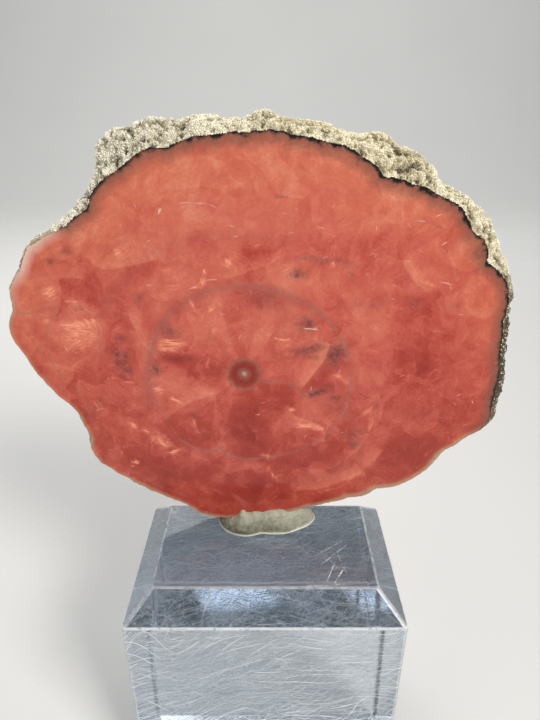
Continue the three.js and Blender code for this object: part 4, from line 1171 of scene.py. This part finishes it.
# The rind's grains
def grain_tree(settings, material):
    """Scatters small crystals over a surface, thick where its rind attribute is high."""
    tree = bpy.data.node_groups.new("rind_grains", "GeometryNodeTree")
    tree.is_modifier = True
    inputs = (
        ("Geometry", "NodeSocketGeometry", None), ("Grain", "NodeSocketFloat", settings.grain),
        ("Spacing", "NodeSocketFloat", settings.spacing),
        ("Density", "NodeSocketFloat", settings.density),
        ("Seed", "NodeSocketInt", settings.seed),
    )
    for name, kind, value in inputs:
        socket = tree.interface.new_socket(name, in_out="INPUT", socket_type=kind)
        if value is not None:
            socket.default_value = value
    tree.interface.new_socket("Geometry", in_out="OUTPUT", socket_type="NodeSocketGeometry")
    start = add(tree, "NodeGroupInput").outputs
    thick = add(tree, "GeometryNodeInputNamedAttribute", {"Name": "rind"}, data_type="FLOAT").outputs[0]
    cover = add(tree, "Math", {0: thick, 1: 3.0}, operation="POWER").outputs[0]
    scatter = add(tree, "GeometryNodeDistributePointsOnFaces", distribute_method="POISSON")
    for name, source in (
        ("Mesh", start["Geometry"]), ("Distance Min", start["Spacing"]),
        ("Density Max", start["Density"]), ("Density Factor", cover), ("Seed", start["Seed"]),
    ):
        tree.links.new(source, scatter.inputs[name])
    crystal = add(tree, "GeometryNodeMeshCube", {"Size": (1.0, 0.62, 0.5)}).outputs["Mesh"]
    # Each grain lies on the surface, turned any way round and tilted a little
    turn = add(tree, "FunctionNodeRandomValue", {"Seed": start["Seed"]}, data_type="FLOAT_VECTOR")
    turn.inputs["Min"].default_value = (-0.6, -0.6, 0)
    turn.inputs["Max"].default_value = (0.6, 0.6, math.tau)
    turn = add(tree, "FunctionNodeEulerToRotation", {0: turn.outputs[0]}).outputs[0]
    turn = add(tree, "FunctionNodeRotateRotation", {0: scatter.outputs["Rotation"], 1: turn},
               rotation_space="LOCAL").outputs[0]
    size = add(tree, "FunctionNodeRandomValue", {"Seed": start["Seed"]}, data_type="FLOAT")
    size.inputs[2].default_value, size.inputs[3].default_value = 0.55, 1.3
    size = add(tree, "Math", {0: size.outputs[1], 1: start["Grain"]}, operation="MULTIPLY").outputs[0]
    thin = add(tree, "MapRange", {0: thick, 1: 0.4, 2: 0.9, 3: 0.6, 4: 1.0}).outputs[0]
    size = add(tree, "Math", {0: size, 1: thin}, operation="MULTIPLY").outputs[0]
    placed = add(tree, "GeometryNodeInstanceOnPoints", {
        "Points": scatter.outputs["Points"], "Instance": crystal, "Rotation": turn, "Scale": size,
    }).outputs[0]
    tint = add(tree, "FunctionNodeRandomValue", {"Seed": 3}, data_type="FLOAT").outputs[1]
    tinted = add(tree, "GeometryNodeStoreNamedAttribute",
                 {"Geometry": placed, "Name": "grain_tint", "Value": tint},
                 data_type="FLOAT", domain="INSTANCE").outputs[0]
    whole = add(tree, "GeometryNodeRealizeInstances", {"Geometry": tinted}).outputs[0]
    done = add(tree, "GeometryNodeSetMaterial", {"Geometry": whole, "Material": material}).outputs[0]
    add(tree, "NodeGroupOutput", {0: done})
    return tree


def crystal_grit(settings):
    """Carbonate grit of the rind: tiny frosted rhombs, weathered, each a little lighter, greyer or more
    golden than the next, so that the rind glitters faintly."""
    material, tree = new_material("weathered_carbonate_grit")
    tint = add(tree, "Attribute", attribute_name="grain_tint").outputs["Fac"]
    gold = add(tree, "Attribute", attribute_name="gold").outputs["Fac"]
    place = add(tree, "TexCoord").outputs["Object"]
    patch = add(tree, "TexNoise", {"Vector": place, "Scale": 0.42 * TO_MM, "Detail": 3.0}).outputs[0]
    shade = add(tree, "Math", {0: patch, 1: 0.8, 2: -0.1}, operation="MULTIPLY_ADD").outputs[0]
    shade = add(tree, "Math", {0: tint, 1: 0.4, 2: shade}, operation="MULTIPLY_ADD").outputs[0]
    # Painted shade in the hollows and painted light on the crests, from the rind's relief
    relief = add(tree, "Attribute", attribute_name="relief").outputs["Fac"]
    painted_light = add(tree, "MapRange", {0: relief, 1: -1.1, 2: 1.2, 3: -0.85, 4: 0.6}).outputs[0]
    shade = add(tree, "Math", {0: shade, 1: painted_light}, operation="ADD").outputs[0]
    grey = add(tree, "ValToRGB", {"Fac": shade}, (
        (0.0, settings.shaded), (0.45, settings.tan), (0.9, settings.pale),
    )).outputs[0]
    golden = add(tree, "ValToRGB", {"Fac": shade}, (
        (0.0, settings.shaded_gold), (0.45, settings.gold), (0.9, settings.pale_gold),
    )).outputs[0]
    colour = add(tree, "Mix", {MIX_FACTOR: gold, MIX_A: grey, MIX_B: golden},
                 data_type="RGBA").outputs[MIX_RESULT]
    black = add(tree, "Attribute", attribute_name="black").outputs["Fac"]
    stained = add(tree, "Math", {0: tint, 1: 0.45}, operation="LESS_THAN").outputs[0]
    stained = add(tree, "Math", {0: stained, 1: black}, operation="MULTIPLY").outputs[0]
    colour = add(tree, "Mix", {MIX_FACTOR: stained, MIX_A: colour, MIX_B: settings.stained},
                 data_type="RGBA").outputs[MIX_RESULT]
    rough = add(tree, "MapRange", {0: tint, 3: 0.45, 4: 0.8}).outputs[0]
    shader = add(tree, "BsdfPrincipled",
                 {"Base Color": colour, "Roughness": rough, "IOR": RHODOCHROSITE_IOR})
    add(tree, "OutputMaterial", {"Surface": shader.outputs[0]})
    return material


class SPECIMEN_OT_grains(bpy.types.Operator):
    """Scatter the rind's crystal grit over the slice's rim"""

    bl_idname = "specimen.grains"
    bl_label = "Scatter the rind's grains"

    def execute(self, context):
        settings = context.scene.specimen_rind
        stone = bpy.data.objects["rhodochrosite_stone"]
        bed = bpy.data.objects.new("rind_grit", stone.data.copy())
        context.scene.collection.objects.link(bed)
        form = bmesh.new()
        form.from_mesh(bed.data)
        polished = [f for f in form.faces if f.material_index == 0]
        bmesh.ops.delete(form, geom=polished, context="FACES")
        form.to_mesh(bed.data)
        form.free()
        bed.data.materials.clear()
        material = crystal_grit(settings)
        modifier = bed.modifiers.new("grains", "NODES")
        modifier.node_group = grain_tree(settings, material)
        baked(bed)
        bed.data.materials.clear()
        bed.data.materials.append(material)
        bed.data.polygons.foreach_set("material_index", np.zeros(len(bed.data.polygons), np.int32))
        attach(bed, "root")
        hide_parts(SLICE_NODE)
        return {"FINISHED"}


# The putty
def mineral_putty(settings):
    """Mineral putty: a soft filled wax, rolled and pressed by hand. Dull, slightly greasy, with smudges
    worked into it in blotches, darker towards the bottom and the left, and a thin cream smear where
    it spreads on the block."""
    material, tree = new_material("mineral_putty")
    place = add(tree, "TexCoord").outputs["Object"]
    place = add(tree, "VectorMath", {0: place, "Scale": TO_MM}, operation="SCALE").outputs[0]
    dirt = add(tree, "Attribute", attribute_name="dirt").outputs["Fac"]
    lip = add(tree, "Attribute", attribute_name="lip").outputs["Fac"]
    blotch = add(tree, "TexNoise",
                 {"Vector": place, "Scale": 0.9, "Detail": 5.0, "Roughness": 0.62}).outputs[0]
    specks = add(tree, "TexNoise", {"Vector": place, "Scale": 3.6, "Detail": 3.0}).outputs[0]
    # Random blotches, darker towards the bottom and the left
    mixed = add(tree, "Math", {0: blotch, 1: 1.8, 2: -0.95}, operation="MULTIPLY_ADD").outputs[0]
    mixed = add(tree, "Math", {0: mixed, 1: dirt}, operation="ADD", use_clamp=True).outputs[0]
    colour = add(tree, "Mix", {MIX_FACTOR: mixed, MIX_A: settings.light,
                               MIX_B: settings.smudge}, data_type="RGBA").outputs[MIX_RESULT]
    dots = add(tree, "MapRange", {0: specks, 1: 0.66, 2: 0.72, 3: 0.0, 4: 0.7}).outputs[0]
    colour = add(tree, "Mix", {MIX_FACTOR: dots, MIX_A: colour, MIX_B: settings.speck},
                 data_type="RGBA").outputs[MIX_RESULT]
    colour = add(tree, "Mix", {MIX_FACTOR: lip, MIX_A: colour, MIX_B: settings.cream},
                 data_type="RGBA").outputs[MIX_RESULT]
    bump = add(tree, "Bump", {"Height": specks, "Strength": 0.35, "Distance": 0.05 * MM}).outputs[0]
    rough = add(tree, "MapRange", {0: blotch, 1: 0.3, 2: 0.7, 3: 0.55, 4: 0.75}).outputs[0]
    shader = add(tree, "BsdfPrincipled", {
        "Base Color": colour, "Roughness": rough, "Normal": bump, "Subsurface Weight": 0.1,
        "Subsurface Radius": (1.0, 0.9, 0.7), "Subsurface Scale": 0.5 * MM,
    })
    add(tree, "OutputMaterial", {"Surface": shader.outputs[0]})
    return material


class SPECIMEN_OT_putty(bpy.types.Operator):
    """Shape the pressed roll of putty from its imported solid"""

    bl_idname = "specimen.putty"
    bl_label = "Build the putty"

    def execute(self, context):
        settings = context.scene.specimen_putty
        piece = merged_copy(PUTTY_NODE, "mineral_putty_roll")
        remesh = piece.modifiers.new("remesh", "REMESH")
        remesh.mode = "VOXEL"
        remesh.voxel_size = settings.voxel
        soft = piece.modifiers.new("soften", "SMOOTH")
        soft.factor = 0.5
        soft.iterations = 3
        baked(piece)
        mesh = piece.data
        places = vertex_array(mesh)
        normals = np.empty(len(places) * 3)
        mesh.vertices.foreach_get("normal", normals)
        normals = normals.reshape(-1, 3)
        height = (places[:, 2] - BLOCK_TOP) / MM
        free = np.clip(height / 0.8, 0, 1)
        dents = lattice_noise(places, 2.6 * MM, 51) + 0.5 * lattice_noise(places, 1.2 * MM, 52)
        wrinkles = lattice_noise(places * (1, 1, 1.6), 0.5 * MM, 53)
        stands = free * (settings.dent * dents + settings.wrinkle * wrinkles)
        places = places + normals * stands[:, None]
        foot = np.exp(-((height / 0.35) ** 2)) * (height > 0.02)
        flat = normals * (1, 1, 0)
        flat /= np.maximum(np.linalg.norm(flat, axis=1, keepdims=True), 1e-6)
        outer = np.linalg.norm(normals[:, :2], axis=1)
        places = places + flat * (foot * settings.lip * np.clip(outer * 2, 0, 1))[:, None]
        # The putty's solid keeps a gap to the stone. Here it is pressed against it.
        stone = bpy.data.objects["rhodochrosite_stone"]
        surface = BVHTree.FromPolygons([v.co for v in stone.data.vertices],
                                       [p.vertices for p in stone.data.polygons])
        reach = 0.75 * MM
        for k, place in enumerate(places):
            spot, _, _, distance = surface.find_nearest(Vector(place), reach)
            if spot is not None:
                pull = 1 - (distance / reach) ** 3
                places[k] += (np.array(spot) - place) * pull * 1.05
        places[:, 2] = np.maximum(places[:, 2], BLOCK_TOP)
        mesh.vertices.foreach_set("co", places.ravel())
        mesh.update()
        x, h = places[:, 0] / MM, (places[:, 2] - BLOCK_TOP) / MM
        # Darker towards the bottom of the roll and towards its left
        dirt = np.clip(1.2 - h * 0.25, 0, 1) * np.clip(0.9 - x / 14, 0.3, 1) - 0.1
        put_attribute(mesh, "dirt", dirt)
        put_attribute(mesh, "lip", np.clip(1 - (h - 0.12) / 0.3, 0, 1))
        mesh.polygons.foreach_set("use_smooth", np.ones(len(mesh.polygons), bool))
        mesh.materials.clear()
        mesh.materials.append(mineral_putty(settings))
        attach(piece, "root")
        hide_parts(PUTTY_NODE)
        return {"FINISHED"}


# The block
def hairlines(tree, place):
    """How bright the families of long, curved hairline scratches are."""
    sway = add(tree, "TexNoise", {"Vector": place, "Scale": 0.05, "Detail": 1.0}).outputs[0]
    total = None
    for number, (slope, lean, bend, space, half, gone, bright) in enumerate(HAIRLINES):
        s, c = math.sin(math.radians(slope)), math.cos(math.radians(slope))
        across = add(tree, "VectorMath", {0: place, 1: (-s, lean, c)},
                     operation="DOT_PRODUCT").outputs["Value"]
        along = add(tree, "VectorMath", {0: place, 1: (c, 0.3, s)},
                    operation="DOT_PRODUCT").outputs["Value"]
        bow = add(tree, "Math", {0: along, 1: along}, operation="MULTIPLY").outputs[0]
        across = add(tree, "Math", {0: bow, 1: bend, 2: across}, operation="MULTIPLY_ADD").outputs[0]
        across = add(tree, "Math", {0: sway, 1: 14.0, 2: across}, operation="MULTIPLY_ADD").outputs[0]
        across = add(tree, "Math", {0: across, 1: space}, operation="DIVIDE").outputs[0]
        row = add(tree, "Math", {0: across}, operation="FLOOR").outputs[0]
        chance = add(tree, "TexWhiteNoise", {"W": row}, noise_dimensions="1D").outputs["Value"]
        within = add(tree, "Math", {0: across, 1: row}, operation="SUBTRACT").outputs[0]
        middle = add(tree, "Math", {0: chance, 1: 0.6, 2: 0.2}, operation="MULTIPLY_ADD").outputs[0]
        off = add(tree, "Math", {0: within, 1: middle}, operation="SUBTRACT").outputs[0]
        off = add(tree, "Math", {0: off}, operation="ABSOLUTE").outputs[0]
        mark = add(tree, "MapRange",
                   {0: off, 1: 0.3 * half / space, 2: 1.6 * half / space, 3: bright, 4: 0.0}).outputs[0]
        stretch = add(tree, "CombineXYZ", {0: row, 1: along, 2: number * 9.0}).outputs[0]
        stretch = add(tree, "VectorMath", {0: stretch, 1: (3.7, 0.09, 1.0)},
                      operation="MULTIPLY").outputs[0]
        length = add(tree, "TexNoise", {"Vector": stretch, "Scale": 1.0, "Detail": 1.0}).outputs[0]
        length = add(tree, "MapRange", {0: length, 1: gone, 2: gone + 0.06}).outputs[0]
        mark = add(tree, "Math", {0: mark, 1: length}, operation="MULTIPLY").outputs[0]
        total = mark if total is None else add(tree, "Math", {0: total, 1: mark},
                                               operation="MAXIMUM").outputs[0]
    return total


def top_scuffs(tree, place, upward, total):
    """Adds the deeper scuffs on the block's top, with frayed edges, to the brightness so far."""
    on_top = add(tree, "MapRange", {0: upward, 1: 0.9, 2: 0.98}).outputs[0]
    frayed = add(tree, "TexNoise", {"Vector": place, "Scale": 3.0, "Detail": 3.0}).outputs[0]
    frayed = add(tree, "MapRange", {0: frayed, 1: 0.4, 2: 0.56}).outputs[0]
    on_top = add(tree, "Math", {0: on_top, 1: frayed}, operation="MULTIPLY").outputs[0]
    for x, y, half, tilt, wide, strength in SCUFFS:
        s, c = math.sin(math.radians(tilt)), math.cos(math.radians(tilt))
        away = add(tree, "VectorMath", {0: place, 1: (x, y, 0.0)}, operation="SUBTRACT").outputs[0]
        along = add(tree, "VectorMath", {0: away, 1: (c, s, 0.0)},
                    operation="DOT_PRODUCT").outputs["Value"]
        across = add(tree, "VectorMath", {0: away, 1: (-s, c, 0.0)},
                     operation="DOT_PRODUCT").outputs["Value"]
        along = add(tree, "Math", {0: along}, operation="ABSOLUTE").outputs[0]
        across = add(tree, "Math", {0: across}, operation="ABSOLUTE").outputs[0]
        along = add(tree, "MapRange", {0: along, 1: 0.6 * half, 2: half, 3: strength, 4: 0.0}).outputs[0]
        across = add(tree, "MapRange",
                     {0: across, 1: 0.4 * wide, 2: 1.4 * wide, 3: 1.0, 4: 0.0}).outputs[0]
        mark = add(tree, "Math", {0: along, 1: across}, operation="MULTIPLY").outputs[0]
        mark = add(tree, "Math", {0: mark, 1: on_top}, operation="MULTIPLY").outputs[0]
        total = add(tree, "Math", {0: total, 1: mark}, operation="MAXIMUM").outputs[0]
    return total


def scratched_acrylic(settings):
    """Cast acrylic, sawn, flame-polished and much handled: clear with a cold tint, and covered in fine
    curved scratches that catch the light."""
    material, tree = new_material("scratched_cast_acrylic")
    place = add(tree, "TexCoord").outputs["Object"]
    place = add(tree, "VectorMath", {0: place, "Scale": TO_MM}, operation="SCALE").outputs[0]
    total = hairlines(tree, place)
    # The front and back were rubbed most. The top, its bevels and the sides kept more of their polish.
    facing = add(tree, "NewGeometry").outputs["Normal"]
    facing = add(tree, "SeparateXYZ", {0: facing}).outputs
    rubbed = add(tree, "MapRange", {0: facing["Z"], 1: 0.3, 2: 0.8, 3: 1.0, 4: 0.28}).outputs[0]
    total = add(tree, "Math", {0: total, 1: rubbed}, operation="MULTIPLY").outputs[0]
    sideways = add(tree, "Math", {0: facing["X"]}, operation="ABSOLUTE").outputs[0]
    sideways = add(tree, "MapRange", {0: sideways, 1: 0.8, 2: 0.95, 3: 1.0, 4: 0.6}).outputs[0]
    total = add(tree, "Math", {0: total, 1: sideways}, operation="MULTIPLY").outputs[0]
    total = top_scuffs(tree, place, facing["Z"], total)
    scuff = add(tree, "TexNoise", {"Vector": place, "Scale": 2.4, "Detail": 2.0}).outputs[0]
    scuff = add(tree, "MapRange", {0: scuff, 1: 0.62, 2: 0.72, 3: 0.0, 4: 0.35}).outputs[0]
    total = add(tree, "Math", {0: total, 1: scuff}, operation="MAXIMUM").outputs[0]
    # The rounded edges are whitened a little, as a painted highlight
    painted_light = add(tree, "Attribute", attribute_name="edge").outputs["Fac"]
    chips = add(tree, "TexNoise", {"Vector": place, "Scale": 0.9, "Detail": 4.0}).outputs[0]
    chips = add(tree, "MapRange", {0: chips, 1: 0.35, 2: 0.65, 3: 0.45, 4: 0.75}).outputs[0]
    painted_light = add(tree, "Math", {0: painted_light, 1: chips}, operation="MULTIPLY").outputs[0]
    total = add(tree, "Math", {0: total, 1: painted_light}, operation="MAXIMUM").outputs[0]
    haze = add(tree, "TexNoise", {"Vector": place, "Scale": 0.25, "Detail": 4.0}).outputs[0]
    rough = add(tree, "MapRange", {0: haze, 1: 0.4, 2: 0.7, 3: 0.01, 4: 0.05}).outputs[0]
    rough = add(tree, "Math", {0: total, 1: 0.5, 2: rough}, operation="MULTIPLY_ADD").outputs[0]
    clear = add(tree, "Math", {0: total, 1: -0.92, 2: 1.0}, operation="MULTIPLY_ADD").outputs[0]
    colour = add(tree, "Mix", {MIX_FACTOR: total, MIX_A: settings.tint,
                               MIX_B: settings.scratch}, data_type="RGBA").outputs[MIX_RESULT]
    shader = add(tree, "BsdfPrincipled", {
        "Base Color": colour, "Roughness": rough, "IOR": ACRYLIC_IOR, "Transmission Weight": clear,
    })
    soaked = add(tree, "VolumeAbsorption",
                 {"Color": settings.soak, "Density": settings.soak_density})
    add(tree, "OutputMaterial", {"Surface": shader.outputs[0], "Volume": soaked.outputs[0]})
    return material


class SPECIMEN_OT_block(bpy.types.Operator):
    """Round the clear block's edges and give it its scratched acrylic"""

    bl_idname = "specimen.block"
    bl_label = "Build the block"

    def execute(self, context):
        settings = context.scene.specimen_block
        piece = merged_copy(BLOCK_NODE, "acrylic_stand_block")
        form = bmesh.new()
        form.from_mesh(piece.data)
        bmesh.ops.dissolve_limit(form, angle_limit=math.radians(1), verts=form.verts, edges=form.edges)
        form.to_mesh(piece.data)
        form.free()
        flats = [face.normal.copy() for face in piece.data.polygons]
        bevel = piece.modifiers.new("edges", "BEVEL")
        bevel.width = settings.edge
        bevel.segments = 3
        bevel.limit_method = "ANGLE"
        bevel.angle_limit = math.radians(20)
        bevel.harden_normals = True
        baked(piece)
        # The edge between the upright faces and the bevel gets the strongest painted highlight
        shoulder = BLOCK_TOP - BLOCK_BEVEL
        painted_edge_highlight = np.zeros(len(piece.data.polygons), np.float32)
        for k, face in enumerate(piece.data.polygons):
            if max(face.normal.dot(flat) for flat in flats) < 0.9999:
                painted_edge_highlight[k] = 1.0 if abs(face.center.z - shoulder) < settings.edge else 0.55
        piece.data.attributes.new("edge", "FLOAT", "FACE").data.foreach_set("value", painted_edge_highlight)
        piece.data.materials.clear()
        piece.data.materials.append(scratched_acrylic(settings))
        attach(piece, "root")
        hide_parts(BLOCK_NODE)
        return {"FINISHED"}


# The stage
def add_light(name, place, target, size, power, colour, spread):
    """A softbox that looks at a target."""
    lamp = bpy.data.lights.new(name, "AREA")
    lamp.spread = math.radians(spread)
    lamp.shape = "RECTANGLE"
    lamp.size, lamp.size_y = size
    lamp.energy = power
    lamp.color = colour
    holder = bpy.data.objects.new(name, lamp)
    holder.location = place
    holder.rotation_euler = (Vector(target) - Vector(place)).to_track_quat("-Z", "Y").to_euler()
    bpy.context.scene.collection.objects.link(holder)


class SPECIMEN_OT_stage(bpy.types.Operator):
    """Set up the camera, the pale floor and the soft lights"""

    bl_idname = "specimen.stage"
    bl_label = "Set the stage"

    def execute(self, context):
        settings = context.scene.specimen_stage
        lens = bpy.data.cameras.new("camera")
        lens.lens = settings.camera_lens
        lens.sensor_width = 36.0
        lens.clip_start = MM
        camera = bpy.data.objects.new("camera", lens)
        camera.location = settings.camera_place
        camera.rotation_euler = (math.pi / 2 - settings.camera_pitch, 0, 0)
        context.scene.collection.objects.link(camera)
        context.scene.camera = camera

        profile = [(-FLOOR_HALF, -FLOOR_GAP), (FLOOR_BACK, -FLOOR_GAP)]
        for k in range(1, FLOOR_BEND_STEPS + 1):
            turn = math.pi / 2 * k / FLOOR_BEND_STEPS
            risen = FLOOR_BEND * (1 - math.cos(turn))
            profile.append((FLOOR_BACK + FLOOR_BEND * math.sin(turn), risen - FLOOR_GAP))
        profile.append((FLOOR_BACK + FLOOR_BEND, FLOOR_RISE))
        places = [(side * FLOOR_HALF, y, z) for y, z in profile for side in (-1, 1)]
        faces = [(2 * k, 2 * k + 1, 2 * k + 3, 2 * k + 2) for k in range(len(profile) - 1)]
        floor = new_piece("floor_sweep", places, faces)
        floor.data.polygons.foreach_set("use_smooth", np.ones(len(faces), bool))
        # Matt paper scatters the light evenly, with hardly any shine and a faint unevenness of tone
        material, tree = new_material("matt_paper_floor")
        place = add(tree, "TexCoord").outputs["Object"]
        grain = add(tree, "TexNoise", {"Vector": place, "Scale": 6.0, "Detail": 2.0}).outputs[0]
        shade = add(tree, "MapRange", {0: grain, 3: 0.97, 4: 1.03}).outputs[0]
        colour = add(tree, "VectorMath", {0: settings.floor[:3], "Scale": shade},
                     operation="SCALE").outputs[0]
        shader = add(tree, "BsdfPrincipled", {"Base Color": colour, "Roughness": 0.9})
        add(tree, "OutputMaterial", {"Surface": shader.outputs[0]})
        floor.data.materials.append(material)

        for name, place, target, size, power, colour, spread in SOFTBOXES:
            add_light(name, place, target, size, getattr(settings, power), colour, spread)
        world = bpy.data.worlds.new("room")
        world.use_nodes = True
        world.node_tree.nodes.clear()
        room = add(world.node_tree, "Background",
                   {"Color": settings.room, "Strength": settings.world_light})
        add(world.node_tree, "OutputWorld", {"Surface": room.outputs[0]})
        context.scene.world = world
        context.scene.view_settings.view_transform = "Standard"
        return {"FINISHED"}


# The panel and the run
GROUPS = {
    "specimen_slice": SliceSettings,
    "specimen_rind": RindSettings,
    "specimen_putty": PuttySettings,
    "specimen_block": BlockSettings,
    "specimen_stage": StageSettings,
}
OPERATORS = (SPECIMEN_OT_stage, SPECIMEN_OT_slice, SPECIMEN_OT_grains, SPECIMEN_OT_putty,
             SPECIMEN_OT_block)


class SPECIMEN_PT_panel(bpy.types.Panel):
    """Lists the pieces and their sizes and colours"""

    bl_label = "Specimen"
    bl_space_type = "VIEW_3D"
    bl_region_type = "UI"
    bl_category = "Specimen"

    def draw(self, context):
        for operator in OPERATORS:
            self.layout.operator(operator.bl_idname)
        for name in GROUPS:
            box = self.layout.box()
            group = getattr(context.scene, name)
            for key in group.__annotations__:
                box.prop(group, key)


def register():
    for kind in (*GROUPS.values(), *OPERATORS, SPECIMEN_PT_panel):
        bpy.utils.register_class(kind)
    for name, kind in GROUPS.items():
        setattr(bpy.types.Scene, name, bpy.props.PointerProperty(type=kind))


def unregister():
    for name in GROUPS:
        delattr(bpy.types.Scene, name)
    for kind in reversed((*GROUPS.values(), *OPERATORS, SPECIMEN_PT_panel)):
        bpy.utils.unregister_class(kind)


def main():
    register()
    bpy.ops.specimen.stage()
    bpy.ops.specimen.slice()
    bpy.ops.specimen.grains()
    bpy.ops.specimen.putty()
    bpy.ops.specimen.block()


if __name__ == "__main__":
    main()
